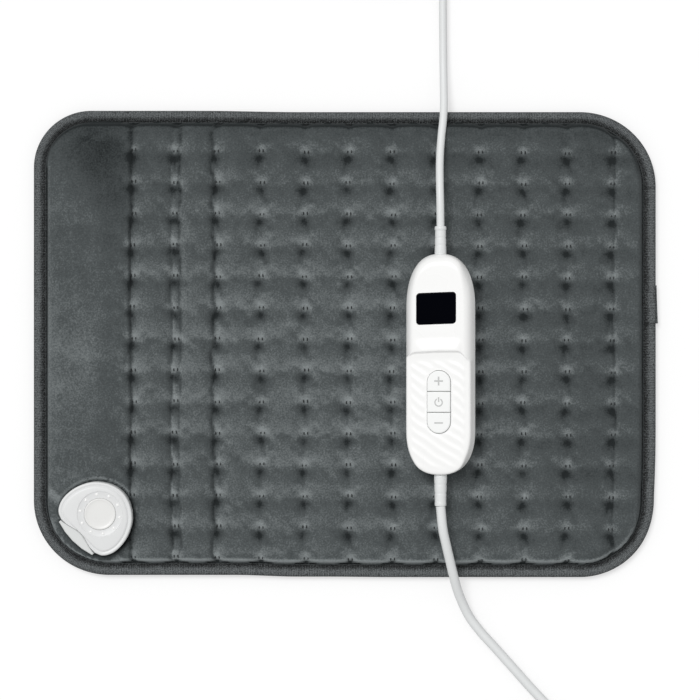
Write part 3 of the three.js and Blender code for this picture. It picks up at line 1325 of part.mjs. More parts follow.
// A coil of two layers. It spirals in on the lower one, climbs in the half turn where it reverses,
// spirals out on the upper one, and leaves straight, easing to the height of what it meets.
function coilPoints({ start, way, hand, inner, stepsIn, stepsOut, diameter, exitZ }) {
  const pitch = diameter + TURN_GAP;
  const first = start.clone().addScaledVector(way, diameter);
  const outer = inner + (pitch * stepsIn) / STEPS_PER_TURN;
  const side = new THREE.Vector3(-way.y * hand, way.x * hand, 0);
  const centre = first.clone().addScaledVector(side, outer);
  const startAngle = Math.atan2(-side.y, -side.x);
  const climb = STEPS_PER_TURN / 2;
  const points = [start];
  const total = stepsIn + climb + stepsOut;
  for (let step = 0; step <= total; step += 1) {
    const turnsLeft = Math.max(stepsIn - step, 0) / STEPS_PER_TURN;
    const turnsBack = Math.max(step - stepsIn - climb, 0) / STEPS_PER_TURN;
    const radius = inner + pitch * (turnsLeft + turnsBack);
    const rise = Math.min(Math.max((step - stepsIn) / climb, 0), 1);
    const reach = radius - CLIMB_BOW * Math.sin(Math.PI * rise);
    const angle = startAngle + (hand * 2 * Math.PI * step) / STEPS_PER_TURN;
    const z = first.z + pitch * rise;
    const [x, y] = [centre.x + reach * Math.cos(angle), centre.y + reach * Math.sin(angle)];
    points.push(new THREE.Vector3(x, y, z));
  }
  const last = points.at(-1);
  const angle = startAngle + (hand * 2 * Math.PI * total) / STEPS_PER_TURN;
  const leaving = new THREE.Vector3(-Math.sin(angle) * hand, Math.cos(angle) * hand, 0);
  for (let step = 1; step <= EXIT_STEPS; step += 1) {
    const share = step / EXIT_STEPS;
    const eased = THREE.MathUtils.smoothstep(share, 1 / EXIT_STEPS, 1 - 1 / EXIT_STEPS);
    const point = last.clone().addScaledVector(leaving, step * diameter);
    point.z = THREE.MathUtils.lerp(last.z, exitZ, eased);
    points.push(point);
  }
  return { points, centre, leaving };
}

// The least gap between stretches of one tube that lie at least half a turn apart along it.
function leastGap(points, diameter, stepsPerTurn) {
  let least = Infinity;
  for (let i = 0; i < points.length; i += 1) {
    for (let j = i + stepsPerTurn / 2; j < points.length - 1; j += 1) {
      const between = new THREE.Line3(points[j], points[j + 1]);
      const nearest = between.closestPointToPoint(points[i], true, new THREE.Vector3());
      least = Math.min(least, nearest.distanceTo(points[i]) - diameter);
    }
  }
  return least;
}

function report(what, gap) {
  console.log(`${what}: least gap between its turns ${gap.toFixed(2)} mm`);
}

// A flat band round the bundle of turns at one place of a coil.
function makeTie({ centre }, { inner, stepsIn, diameter }, degrees) {
  const pitch = diameter + TURN_GAP;
  const outer = inner + (pitch * stepsIn) / STEPS_PER_TURN;
  const reach = diameter / 2 + TIE_CLEARANCE;
  const [low, high] = [centre.z - reach, centre.z + pitch + reach];
  const band = (margin) => roundedRectangle(
    inner - reach - margin,
    outer + reach + margin,
    low - margin,
    high + margin,
    TIE_THICKNESS + margin,
  );
  const ring = cut(
    prism(band(TIE_THICKNESS), -TIE_WIDTH / 2, TIE_WIDTH / 2, 3),
    prism(band(0), -TIE_WIDTH, TIE_WIDTH, 3),
  );
  const turn = THREE.MathUtils.degToRad(degrees);
  return ring.rotateX(Math.PI / 2).rotateZ(turn).translate(centre.x, centre.y, 0);
}

// Mains plug, modelled along +y from the end of its cord and turned to lie along the cord's way

function atEnd(geometry, end, way) {
  const turn = Math.atan2(way.y, way.x) - Math.PI / 2;
  return geometry.rotateZ(turn).translate(end.x, end.y, end.z);
}

function makePlugBody() {
  const rings = PLUG_LENGTH_SHARES.map((share, i) => {
    const halfX = (PLUG_WIDTH_SHARES[i] * PLUG_FACE_WIDTH) / 2;
    const halfZ = (PLUG_THICKNESS_SHARES[i] * PLUG_FACE_THICKNESS) / 2;
    return Array.from({ length: PLUG_SECTION_STEPS }, (_, corner) => {
      const angle = (-2 * Math.PI * (corner + 0.5)) / PLUG_SECTION_STEPS;
      const power = (value) => Math.sign(value) * Math.abs(value) ** (2 / PLUG_SECTION_POWER);
      const [x, z] = [halfX * power(Math.cos(angle)), halfZ * power(Math.sin(angle))];
      return new THREE.Vector3(x, share * PLUG_BODY_LENGTH, z);
    });
  });
  const body = loft(rings);
  const boreEnd = PLUG_BODY_LENGTH - PLUG_PIN_ROOT - CLEARANCE;
  const bores = pinColumns.map((x) =>
    column(PLUG_SLEEVE_RADIUS + CLEARANCE, boreEnd, PLUG_BODY_LENGTH + OVERRUN)
      .rotateX(-Math.PI / 2)
      .translate(x, 0, 0));
  return cut(body, ...bores);
}

const pinColumns = [-PLUG_PIN_PITCH / 2, PLUG_PIN_PITCH / 2];

function makePin(x) {
  const neck = PLUG_SLEEVE_RADIUS - PLUG_SLEEVE_WALL - CLEARANCE;
  const face = PLUG_BODY_LENGTH;
  return turned([
    [neck, face - PLUG_PIN_ROOT],
    [neck, face + PLUG_SLEEVE_LENGTH + CLEARANCE],
    [PLUG_PIN_RADIUS, face + PLUG_SLEEVE_LENGTH + CLEARANCE],
    [PLUG_PIN_RADIUS, face + PLUG_PIN_LENGTH - PLUG_PIN_RADIUS / 2],
    [PLUG_PIN_RADIUS / 2, face + PLUG_PIN_LENGTH],
  ]).rotateX(-Math.PI / 2).translate(x, 0, 0);
}

function makeSleeve(x) {
  const bore = PLUG_SLEEVE_RADIUS - PLUG_SLEEVE_WALL;
  const [low, high] = [PLUG_BODY_LENGTH - PLUG_PIN_ROOT, PLUG_BODY_LENGTH + PLUG_SLEEVE_LENGTH];
  const sleeve = cut(column(PLUG_SLEEVE_RADIUS, low, high), column(bore, low - OVERRUN, high + OVERRUN));
  return sleeve.rotateX(-Math.PI / 2).translate(x, 0, 0);
}

// Pad lead's plug, along +y from the end of its cord

const bootEnd = LEAD_BOOT_LENGTH;
const gripEnd = bootEnd + LEAD_PLUG_LENGTH;

function makeLeadBoot() {
  return turned([
    [LEAD_BOOT_TIP_RADIUS, 0],
    [LEAD_BOOT_TIP_RADIUS, LEAD_PLUG_WALL],
    [LEAD_BOOT_RADIUS, bootEnd - CLEARANCE],
    [LEAD_BOOT_RADIUS, bootEnd + LEAD_PLUG_WALL],
    [LEAD_BOOT_RADIUS, bootEnd + LEAD_PLUG_WALL + CLEARANCE],
    [LEAD_BOOT_FLANGE_RADIUS, bootEnd + LEAD_PLUG_WALL + 2 * CLEARANCE],
    [LEAD_BOOT_FLANGE_RADIUS, bootEnd + 2 * LEAD_PLUG_WALL],
  ]).rotateX(-Math.PI / 2);
}

// One half of the plug's grip: a rounded body hollowed for the tongue and the boot's flange.
function makeLeadPlugHalf(side) {
  const half = LEAD_PLUG_WIDTH / 2;
  const place = ([x, y]) => [x * half, bootEnd + y * LEAD_PLUG_LENGTH];
  const [neckAt, shoulder, waist, waistEnd] = GRIP_SHARES.map(place);
  const shape = new THREE.Shape();
  shape.moveTo(-neckAt[0], neckAt[1]);
  shape.lineTo(...neckAt);
  shape.quadraticCurveTo(...shoulder, ...waist);
  shape.quadraticCurveTo(...waistEnd, half, gripEnd);
  shape.lineTo(-half, gripEnd);
  shape.quadraticCurveTo(-waistEnd[0], waistEnd[1], -waist[0], waist[1]);
  shape.quadraticCurveTo(-shoulder[0], shoulder[1], -neckAt[0], neckAt[1]);
  const depth = LEAD_PLUG_THICKNESS / 2;
  const raw = bevelled(shape, CLEARANCE / 2 - LEAD_PLUG_ROUND, depth, LEAD_PLUG_ROUND, 2);
  const reach = LEAD_PLUG_WIDTH + LEAD_PLUG_LENGTH;
  const upper = common(raw, block(-reach, reach, 0, 2 * reach, CLEARANCE / 2, depth + OVERRUN));
  const pocketHalf = TONGUE_HALF + CLEARANCE;
  const pocket = block(
    -pocketHalf, pocketHalf, gripEnd - TONGUE_ROOT - CLEARANCE, gripEnd + OVERRUN,
    -OVERRUN, TONGUE_THICKNESS / 2 + CLEARANCE,
  );
  const wellLow = bootEnd + LEAD_PLUG_WALL;
  const well = column(LEAD_BOOT_FLANGE_RADIUS + CLEARANCE, wellLow, wellLow + LEAD_BOOT_WELL);
  const neck = column(LEAD_BOOT_RADIUS + CLEARANCE, 0, bootEnd + 2 * LEAD_PLUG_WALL);
  const shell = cut(upper, pocket, well.rotateX(-Math.PI / 2), neck.rotateX(-Math.PI / 2));
  return side > 0 ? shell : shell.rotateY(Math.PI);
}

// The flat tongue that goes into the socket, with three contact wells and the notch for the hook.
function makeLeadTongue() {
  const [low, high] = [gripEnd - TONGUE_ROOT, gripEnd + TONGUE_REACH];
  const half = TONGUE_THICKNESS / 2;
  const body = block(-TONGUE_HALF, TONGUE_HALF, low, high, -half, half);
  const wells = bladeRows.map((x) => block(
    x - TONGUE_CONTACT_HALF,
    x + TONGUE_CONTACT_HALF,
    high - TONGUE_REACH / 2,
    high + OVERRUN,
    -half / 2,
    half / 2,
  ));
  const notchHalf = LATCH_HOOK_HALF + CLEARANCE;
  const notch = block(
    -notchHalf,
    notchHalf,
    high - (LATCH_REACH - MOUTH_REAR) - CLEARANCE,
    high - (hookRear - MOUTH_REAR) + CLEARANCE,
    -half - OVERRUN,
    -half + LATCH_HOOK_RISE / 2,
  );
  return cut(body, ...wells, notch);
}

// Assembly

add(part, "top_quilt", makeTopQuilt(), PLUSH_GREY, 1);
add(part, "back_quilt", makeBackQuilt(), FLEECE_GREY, 1);
add(part, "element_felt", makeFelt(), FELT_WHITE, 1);
add(part, "heating_wire", makeHeatingWire(), WIRE_CREAM, 0.6);
add(part, "edge_binding", makeBinding(), BINDING_GREY, 1);
add(part, "binding_tail", makeBindingTail(), BINDING_GREY, 1);
add(part, "thermal_cutout", makeCutout(), COMPONENT_BLACK, 0.5);

part.add(controller);
add(controller, "controller_front_shell", makeFrontShell(), HOUSING_WHITE, 0.3);
add(controller, "controller_rear_shell", makeRearShell(), HOUSING_WHITE, 0.3);
add(controller, "display_window", makeDisplayWindow(), GLASS_BLACK, 0.1);
add(controller, "display_module", makeDisplayModule(), COMPONENT_BLACK, 0.4);
add(controller, "circuit_board", makeBoard(), BOARD_GREEN, 0.5);
["plus", "power", "minus"].forEach((use, order) => {
  add(controller, `key_${use}`, makeKey(order), KEY_GREY, 0.5);
  add(controller, `switch_${use}`, makeSwitch(order), COMPONENT_BLACK, 0.5);
});
add(controller, "film_capacitor", makeCapacitor(), COMPONENT_RED, 0.4);
add(controller, "triac", makeTriac(), COMPONENT_BLACK, 0.5);
add(controller, "board_fuse", makeFuse(), STEEL_GREY, 0.3, 1);
add(controller, "mains_terminal", makeTerminal(1), BOARD_GREEN, 0.5);
add(controller, "lead_terminal", makeTerminal(-1), BOARD_GREEN, 0.5);
screwPlaces.forEach((place, i) => {
  add(controller, `shell_screw_${i + 1}`, makeShellScrew(place), STEEL_GREY, 0.3, 1);
});
const leadRelief = makeStrainRelief(LEAD_RELIEF_LENGTH, LEAD_RELIEF_GROWTH).rotateZ(Math.PI);
add(controller, "mains_strain_relief", makeStrainRelief(MAINS_RELIEF_LENGTH, 0), CORD_WHITE, 0.6);
add(controller, "lead_strain_relief", leadRelief, CORD_WHITE, 0.6);

part.add(socket);
add(socket, "socket_base", makeSocketBase(), SOCKET_WHITE, 0.4);
add(socket, "socket_cover", makeSocketCover(), SOCKET_WHITE, 0.4);
add(socket, "socket_mouth", makeSocketMouth(), SOCKET_WHITE, 0.4);
add(socket, "release_button", makeReleaseButton(), SOCKET_WHITE, 0.4);
add(socket, "release_latch", makeReleaseLatch(), SOCKET_WHITE, 0.5);
add(socket, "release_spring", makeReleaseSpring(), STEEL_GREY, 0.3, 1);
add(socket, "contact_carrier", makeContactCarrier(), SOCKET_WHITE, 0.6);
bladeRows.forEach((y, i) => {
  add(socket, `contact_blade_${i + 1}`, makeContactBlade(y), BRASS_YELLOW, 0.3, 1);
});
add(socket, "backing_plate", makeBackingPlate(), SOCKET_WHITE, 0.6);
socketScrews.forEach((place, i) => {
  add(socket, `socket_screw_${i + 1}`, makeSocketScrew(place), STEEL_GREY, 0.3, 1);
});

const mainsCord = {
  diameter: MAINS_DIAMETER,
  hand: 1,
  inner: MAINS_COIL_INNER,
  stepsIn: MAINS_COIL_STEPS_IN,
  stepsOut: MAINS_COIL_STEPS_OUT,
  exitZ: PLUG_AXIS,
};
const leadCord = {
  diameter: LEAD_DIAMETER,
  hand: -1,
  inner: LEAD_COIL_INNER,
  stepsIn: LEAD_COIL_STEPS_IN,
  stepsOut: LEAD_COIL_STEPS_OUT,
  exitZ: LEAD_PLUG_AXIS,
};

// Adds a cord's run, coil and tie, and gives the place and way where its plug begins.
function addCord(name, cord, side, reliefLength, route, tieDegrees) {
  const tip = side * (endY + reliefLength + CLEARANCE);
  const start = new THREE.Vector3(CONTROLLER_X, CONTROLLER_Y + tip, CONTROLLER_Z);
  const run = [start, ...route.map(([x, y, z]) => new THREE.Vector3(x, y, z))];
  const way = run.at(-1).clone().sub(run.at(-2)).normalize();
  const coil = coilPoints({ ...cord, start: run.at(-1).clone().addScaledVector(way, CLEARANCE), way });
  add(part, `${name}_cord_run`, makeRun(run, cord.diameter), CORD_WHITE, 0.6);
  add(part, `${name}_cord_coil`, tube(coil.points, cord.diameter / 2, COIL_SIDES), CORD_WHITE, 0.6);
  add(part, `${name}_cord_tie`, makeTie(coil, cord, tieDegrees), COMPONENT_BLACK, 0.7);
  report(`${name} cord coil`, leastGap(coil.points, cord.diameter, STEPS_PER_TURN));
  const end = coil.points.at(-1).clone().addScaledVector(coil.leaving, CLEARANCE);
  return (geometry) => atEnd(geometry, end, coil.leaving);
}

const onMains = addCord("mains", mainsCord, 1, MAINS_RELIEF_LENGTH, MAINS_ROUTE, MAINS_TIE_DEGREES);
add(part, "mains_plug", onMains(makePlugBody()), CORD_WHITE, 0.5);
pinColumns.forEach((x, i) => {
  add(part, `plug_pin_${i + 1}`, onMains(makePin(x)), BRASS_YELLOW, 0.3, 1);
  add(part, `plug_sleeve_${i + 1}`, onMains(makeSleeve(x)), COMPONENT_BLACK, 0.5);
});

const onLead = addCord("lead", leadCord, -1, LEAD_RELIEF_LENGTH, LEAD_ROUTE, LEAD_TIE_DEGREES);
add(part, "lead_plug_upper", onLead(makeLeadPlugHalf(1)), SOCKET_WHITE, 0.4);
add(part, "lead_plug_lower", onLead(makeLeadPlugHalf(-1)), SOCKET_WHITE, 0.4);
add(part, "lead_plug_tongue", onLead(makeLeadTongue()), SOCKET_WHITE, 0.5);
add(part, "lead_plug_boot", onLead(makeLeadBoot()), CORD_WHITE, 0.6);

export default part;
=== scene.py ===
"""Heating pad with its controller, cords, plugs and corner socket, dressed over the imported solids.

Lengths are written in millimetres and turned to metres where a mesh is made.
"""

import math

import bmesh
import bpy
import numpy as np
from mathutils import Matrix, Vector


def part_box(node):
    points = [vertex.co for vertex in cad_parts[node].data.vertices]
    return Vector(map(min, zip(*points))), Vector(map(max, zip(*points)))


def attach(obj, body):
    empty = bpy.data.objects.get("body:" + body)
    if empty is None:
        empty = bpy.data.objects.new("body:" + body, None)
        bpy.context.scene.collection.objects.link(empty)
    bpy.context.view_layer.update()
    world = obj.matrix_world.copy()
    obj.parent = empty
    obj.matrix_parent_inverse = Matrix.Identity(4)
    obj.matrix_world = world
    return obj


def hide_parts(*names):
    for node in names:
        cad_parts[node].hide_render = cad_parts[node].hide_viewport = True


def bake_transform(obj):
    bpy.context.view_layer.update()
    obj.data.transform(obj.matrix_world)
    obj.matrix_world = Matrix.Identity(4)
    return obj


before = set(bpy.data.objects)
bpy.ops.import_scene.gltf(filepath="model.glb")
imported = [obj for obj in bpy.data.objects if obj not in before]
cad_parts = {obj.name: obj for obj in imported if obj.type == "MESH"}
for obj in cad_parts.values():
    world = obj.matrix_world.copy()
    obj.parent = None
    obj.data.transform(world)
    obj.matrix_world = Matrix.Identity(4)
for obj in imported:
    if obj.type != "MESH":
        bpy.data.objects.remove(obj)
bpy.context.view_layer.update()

MM = 0.001

# Pad
HALF_LENGTH = 200
HALF_WIDTH = 150
CORNER = 49
TIGHT_CORNER = 37
QUILT_INSET = 2.4
GROOVE_INSET = 9.1
GROOVE_TOP = 4.7
EDGE_BLEND = 1.4
HIGHEST_PLUSH = 15.5
SOCKET_FOOT = 8.9
CONTROLLER_FOOT = 13.95
SEAM_INSET = 7.9
CROWN = 13.6
EDGE_RUN = 5
COLUMN_PITCH = 28
COLUMNS = 12
FIRST_COLUMN = -136
ROWS = 15
FIRST_ROW = 143.3
ROW_PITCH = 20.093
ROW_DROP = 2
CHANNEL_DEPTH = 0.9
TUFT_DEPTH = 2.0
TUFT_REACH = 3.9
TUFT_BELOW = 2.3
TUFT_ASIDE = 0.8
ROW_DEPTH = 0.36
BAND_DEPTH = 0.8
SCALLOP = 1.9
SCALLOPED_FROM = FIRST_COLUMN - 8
STITCH_GAP = 1.2
UNDERSIDE_INSET = 6.9
UNDERSIDE_TOP = 3.75
FELT_INSET = 12.5
LAP_LOW = 12.9
LAP_HIGH = 37.4
LAP_FROM = 200.3
RIB_PITCH = 1.05

# How the plush's colour is shaded: slopes that face one fixed way are painted paler and those that face
# away darker, a painted sheen and shade, and how much each cause changes its tone
SHEEN_FACING = (-0.14, -0.99, 0)
SHEEN_RANGE = 0.6
BRUSH_TONE = 0.085
GRAIN_TONE = 0.17
SHADING_TONE = 0.6

# One tuft, measured from its two stitches, with the painted shade, shadow and highlight round it
TUFT_WINDOW = (15, 17)
TUFT_POWER = 1.9
WRINKLE_HEIGHT = 0.26
HOLE_SIZE = (0.6, 1.2)
HOLE_DEPTH = 0.35
HOLE_SHADE = 0.28
CREASE_DEPTH = 0.6
CREASE_LENGTH = 11
CREASE_SHADE = 0.2
TRAIL_LENGTH = 10
TRAIL_WIDTH = 1.9
TRAIL_SHADOW = 0.19
SHADE_SIZE = (3.4, 2.2)
SHADE_BELOW = 3.2
SHADE_STRENGTH = 0.1
HIGHLIGHT_SIZE = (2.5, 2.3)
HIGHLIGHT_ABOVE = 3.9
HIGHLIGHT_TONE = 0.16

# Controller, in its own frame
CONTROLLER_AT = (60.8, -13.2, 26.6)
CONTROLLER_ROLL = -10
HALF_GRIP = 22
TOP_START = 34
TOP_END = 36
BOTTOM_START = -41
BOTTOM_END = 29
END_POWER = 2.4
END_ROLL = 1.5
FACE = 9
FACE_INSET = 3.1
FRONT_POWER = 1.85
BACK = 10.5
BACK_INSET = 12
BACK_POWER = 2.6
SHELL_PARTING = 0.15
MIDDLE_LINE = 0.002
WALL = 2
FACE_WALL = 2.4
FACE_RUN = 5
RECESS = 1.6
BROW = 0.75
DRAFT_LEFT = 1.2
DRAFT_RIGHT = 2.5
LEDGE_Y = 8.4
GRIP_RIB_HEIGHT = 0.2
GRIP_RIB_PITCH = 5.6
GRIP_RIB_SLANT = 33
HOLE_CLEARANCE = 0.3
RELIEF_BORE = 4.0
RELIEF_NECK = 3.7
RELIEF_END = 70
SCREW_X = 10
SCREW_Y = 51
SCREW_WELL = 2.7
WELL_DEPTH = 4.1
SCREW_BORE = 1.7
STRIP_TOP = -3.95
STRIP_BOTTOM = -43.6
STRIP_RADIUS = 7.4
KEY_TOP = 8.8
KEY_LOW = 5.3
HALF_KEY_GAP = 0.15
DISPLAY_X = -1.6
DISPLAY_Y = 35.3
DISPLAY_HALF_X = 12.45
DISPLAY_HALF_Y = 9.8
DISPLAY_CORNER = 2
DISPLAY_RISE = 0.035

# Socket, in its own frame: x out of its mouth
SOCKET_AT = (-155.7, -108.5, 0)
SOCKET_TURN = 225
SOCKET_TOP = 23.1
COVER_LOW = 14.3
SOCKET_TRIM = 0.7
SOCKET_LIP_X = 24.3
SOCKET_LIP_RADIUS = 48
SOCKET_LIP_HALF = 15.2
PARTING_GAP = 0.12
PIPS = 10
PIP_CIRCLE = 12.6
SPRING_RADIUS = 6
SPRING_WIRE = 0.8
SPRING_CURLS = 2
SPRING_STEPS = 16
SIDE_POINTS = [
    (-20.6, 0), (-18.54, 8.856), (-12.36, 17.466), (-3.09, 22.878),
    (6.075, 24.6), (13.122, 23.493), (18.225, 20.172), (20.534, 15.375),
]
PARTING_POINTS = [(20.3, 1), (19.44, 0.7), (18.75, 0.52), (17.72, 0.23), (17.2, 0)]

# Cords
MAINS_ROUTE = [
    (60.8, 74.3, 26.6), (60.6, 90, 26.4), (60.4, 102, 24.6), (60.5, 114, 20.9), (61, 124, 17.9),
    (61.9, 134, 15.7), (63, 144, 13.4), (63.5, 153, 11), (63.5, 163, 8.2), (63.4, 176, 5.6),
    (63.3, 192, 4.5), (63.1, 215, 4.4), (63, 240, 4.4), (63, 254, 4.4), (63, 265, 4.4),
]
LEAD_ROUTE = [
    (60.8, -103.2, 26.6), (62.3, -118, 26), (64.5, -128, 23.6), (66.9, -138, 20.1), (69.4, -148, 16.2),
    (72, -157.5, 11.8), (75.3, -166, 8.1), (80.3, -176, 5.6), (87.5, -185.5, 4.9), (97, -196, 4.9),
    (108, -208.3, 4.9), (120, -221.8, 4.9), (130.5, -232.8, 4.9), (140, -242.4, 4.9), (143.7, -246.1, 4.9),
]
MAINS_DIAMETER = 5
MAINS_PLUG_AXIS = 7.3
LEAD_DIAMETER = 6
LEAD_PLUG_AXIS = 6.8
CORD_SIDES = 16
COIL_GAP = 0.6
CLIMB_DRAWN_IN = 1
TURN_STEPS = 24
STEP_PARTS = 4
TAIL_DIAMETERS = 6
TAIL_STEPS = 24

# The plush face: its mesh's step, the coarser step and the frames of its cloth, and the cloth's reach
PLUSH_STEP = 1.1
CLOTH_STEP = 3.6
CLOTH_FRAMES = 24
CLOTH_LIMIT = 0.5

# Light and floor
SOFT_LIGHT = 0.55
SUN_STRENGTH = 1.42
SUN_ANGLE = 24
SUN_AZIMUTH = 130
SUN_ELEVATION = 62
FLOOR_GREY = 0.5
FLOOR_LIFT = 0.54
FLOOR_HALF = 3000

# Outlines: the steps of a rounded corner, and the sharpest mitre of an offset one
CORNER_STEPS = 8
SHARPEST_MITRE = 0.3


# Meshes

def linked(name, data):
    thing = bpy.data.objects.new(name, data)
    bpy.context.scene.collection.objects.link(thing)
    return thing


def new_object(name, mesh, material, body="body"):
    mesh.materials.clear()
    mesh.materials.append(material)
    thing = linked(name, mesh)
    if body:
        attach(thing, body)
    return thing


def tidy(mesh, weld=0.0, sharp=35):
    """Turns all faces outwards, welds doubles and keeps corners above an angle sharp."""
    shape = bmesh.new()
    shape.from_mesh(mesh)
    if weld:
        bmesh.ops.remove_doubles(shape, verts=shape.verts, dist=weld * MM)
        bmesh.ops.dissolve_degenerate(shape, edges=shape.edges, dist=weld * MM / 2)
    bmesh.ops.recalc_face_normals(shape, faces=shape.faces)
    shape.to_mesh(mesh)
    shape.free()
    mesh.shade_smooth()
    mesh.set_sharp_from_angle(angle=math.radians(sharp))
    mesh.update()


def raw_mesh(name, points, faces):
    mesh = bpy.data.meshes.new(name)
    mesh.from_pydata([tuple(spot) for spot in np.asarray(points, dtype=float) * MM], [], faces)
    return mesh


def mesh_of(name, points, faces, weld=0.0, sharp=35, place=None):
    mesh = raw_mesh(name, points, faces)
    if place is not None:
        mesh.transform(place)
    tidy(mesh, weld, sharp)
    return mesh


def mark(mesh, label, values):
    """Gives each of the mesh's points a value that its finish reads."""
    mesh.attributes.new(label, "FLOAT", "POINT").data.foreach_set("value", values)


def loft_faces(rings, sides, caps=True, around=False):
    faces = []
    for ring in range(rings if around else rings - 1):
        low, high = ring * sides, ((ring + 1) % rings) * sides
        for side in range(sides):
            other = (side + 1) % sides
            faces.append((low + side, low + other, high + other, high + side))
    if caps and not around:
        faces.append(tuple(reversed(range(sides))))
        faces.append(tuple((rings - 1) * sides + side for side in range(sides)))
    return faces


def loft(name, rings, caps=True, weld=0.0, sharp=35, place=None):
    points = np.concatenate([np.asarray(ring, dtype=float) for ring in rings])
    return mesh_of(name, points, loft_faces(len(rings), len(rings[0]), caps), weld, sharp, place)


def flat_ring(outline, z):
    return np.column_stack([np.asarray(outline, dtype=float), np.full(len(outline), float(z))])


def offset(outline, margin):
    """A convex anticlockwise outline grown by a margin, or shrunk by a negative one."""
    points = np.asarray(outline, dtype=float)
    ahead = np.roll(points, -1, axis=0) - points
    ahead /= np.linalg.norm(ahead, axis=1, keepdims=True)
    out = np.column_stack([ahead[:, 1], -ahead[:, 0]])
    before = np.roll(out, 1, axis=0)
    middle = out + before
    middle /= np.linalg.norm(middle, axis=1, keepdims=True)
    share = np.maximum((middle * out).sum(axis=1, keepdims=True), SHARPEST_MITRE)
    return points + middle * margin / share


def stack(name, outline, levels, place=None):
    """A body of the outline's copies: pairs of a margin and a height, from the bottom up."""
    return loft(name, [flat_ring(offset(outline, margin), z) for margin, z in levels], place=place)


def turned(name, profile, sides=48, place=None, sharp=35):
    """A body of circles: pairs of a radius and a height, from the bottom up."""
    angles = np.arange(sides) * 2 * math.pi / sides
    circle = np.column_stack([np.cos(angles), np.sin(angles)])
    rings = [flat_ring(circle * radius, z) for radius, z in profile]
    return loft(name, rings, place=place, sharp=sharp)


def arc(centre_x, centre_y, radius, start, end, steps):
    angles = np.radians(np.linspace(start, end, steps + 1))
    return np.column_stack([centre_x + radius * np.cos(angles), centre_y + radius * np.sin(angles)])


def rounded_rectangle(half_x, half_y, radius, x, y):
    corners = [(1, 1, 0), (-1, 1, 90), (-1, -1, 180), (1, -1, 270)]
    return np.concatenate([
        arc(x + sx * (half_x - radius), y + sy * (half_y - radius), radius, start, start + 90, CORNER_STEPS)
        for sx, sy, start in corners
    ])


def smooth(value):
    value = np.clip(value, 0, 1)
    return value * value * (3 - 2 * value)


def curve_through(points, per_span):
    """A centripetal curve through the points, as many steps to each span."""
    points = np.asarray(points, dtype=float)
    spots = np.vstack([2 * points[0] - points[1], points, 2 * points[-1] - points[-2]])
    found = []
    for i in range(1, len(spots) - 2):
        p0, p1, p2, p3 = spots[i - 1:i + 3]
        t0, t1, t2 = [max(np.linalg.norm(b - a), 1e-6) ** 0.5 for a, b in ((p0, p1), (p1, p2), (p2, p3))]
        m1 = ((p1 - p0) / t0 - (p2 - p0) / (t0 + t1) + (p2 - p1) / t1) * t1
        m2 = ((p2 - p1) / t1 - (p3 - p1) / (t1 + t2) + (p3 - p2) / t2) * t1
        for step in range(per_span):
            s = step / per_span
            found.append(
                p1 + m1 * s + (3 * (p2 - p1) - 2 * m1 - m2) * s**2 + (2 * (p1 - p2) + m1 + m2) * s**3)
    found.append(points[-1])
    return np.array(found)


def applied(thing):
    """Gives the object the mesh that its modifiers make, and removes them."""
    graph = bpy.context.evaluated_depsgraph_get()
    mesh = bpy.data.meshes.new_from_object(thing.evaluated_get(graph))
    thing.modifiers.clear()
    thing.data = mesh
    return mesh


def carved(mesh, *tools):
    """The mesh less the tools."""
    thing = linked("carving", mesh)
    helpers = [linked("tool", tool) for tool in tools]
    for helper in helpers:
        step = thing.modifiers.new("carve", "BOOLEAN")
        step.operation = "DIFFERENCE"
        step.solver = "EXACT"
        step.object = helper
    made = applied(thing)
    for helper in [*helpers, thing]:
        bpy.data.objects.remove(helper)
    return made


# Camera: straight above the pad, as wide as the photograph at the pad's plane

VIEW_MIDDLE = (3.37, -4.17)
VIEW_WIDTH = 449.4
VIEW_DISTANCE = 1650
PAD_PLANE = 7
SENSOR_WIDTH = 36

camera_data = bpy.data.cameras.new("camera")
camera_data.sensor_width = SENSOR_WIDTH
camera_data.lens = SENSOR_WIDTH * VIEW_DISTANCE / VIEW_WIDTH
camera = linked("camera", camera_data)
camera.location = Vector((*VIEW_MIDDLE, PAD_PLANE + VIEW_DISTANCE)) * MM
bpy.context.scene.camera = camera


# Effects that several finishes share

def effect(name, inputs, outputs):
    """An empty group of nodes with these ways in, each with its usual value, and these ways out."""
    group = bpy.data.node_groups.new(name, "ShaderNodeTree")
    for label, value in inputs:
        entry = group.interface.new_socket(label, in_out="INPUT", socket_type="NodeSocketFloat")
        entry.default_value = value
    for label in outputs:
        group.interface.new_socket(label, in_out="OUTPUT", socket_type="NodeSocketFloat")
    nodes = group.nodes
    return group, nodes.new("NodeGroupInput"), nodes.new("NodeGroupOutput")


def noise(nodes, links, place, scale, detail=4, roughness=0.5, distortion=0.0):
    """Noise over a place, its scale a number or another node's output."""
    node = nodes.new("ShaderNodeTexNoise")
    links.new(place, node.inputs["Vector"])
    if isinstance(scale, (int, float)):
        node.inputs["Scale"].default_value = scale
    else:
        links.new(scale, node.inputs["Scale"])
    node.inputs["Detail"].default_value = detail
    node.inputs["Roughness"].default_value = roughness
    node.inputs["Distortion"].default_value = distortion
    return node.outputs[0]


def own_place(nodes):
    return nodes.new("ShaderNodeTexCoord").outputs["Object"]


def stretched(nodes, links, place, scale, turn=0.0):
    node = nodes.new("ShaderNodeMapping")
    node.inputs["Scale"].default_value = scale
    node.inputs["Rotation"].default_value = (0, 0, turn)
    links.new(place, node.inputs["Vector"])
    return node.outputs["Vector"]


def maths(nodes, links, operation, *values, clamp=False):
    node = nodes.new("ShaderNodeMath")
    node.operation = operation
    node.use_clamp = clamp
    for entry, value in zip(node.inputs, values):
        if isinstance(value, (int, float)):
            entry.default_value = value
        else:
            links.new(value, entry)
    return node.outputs[0]


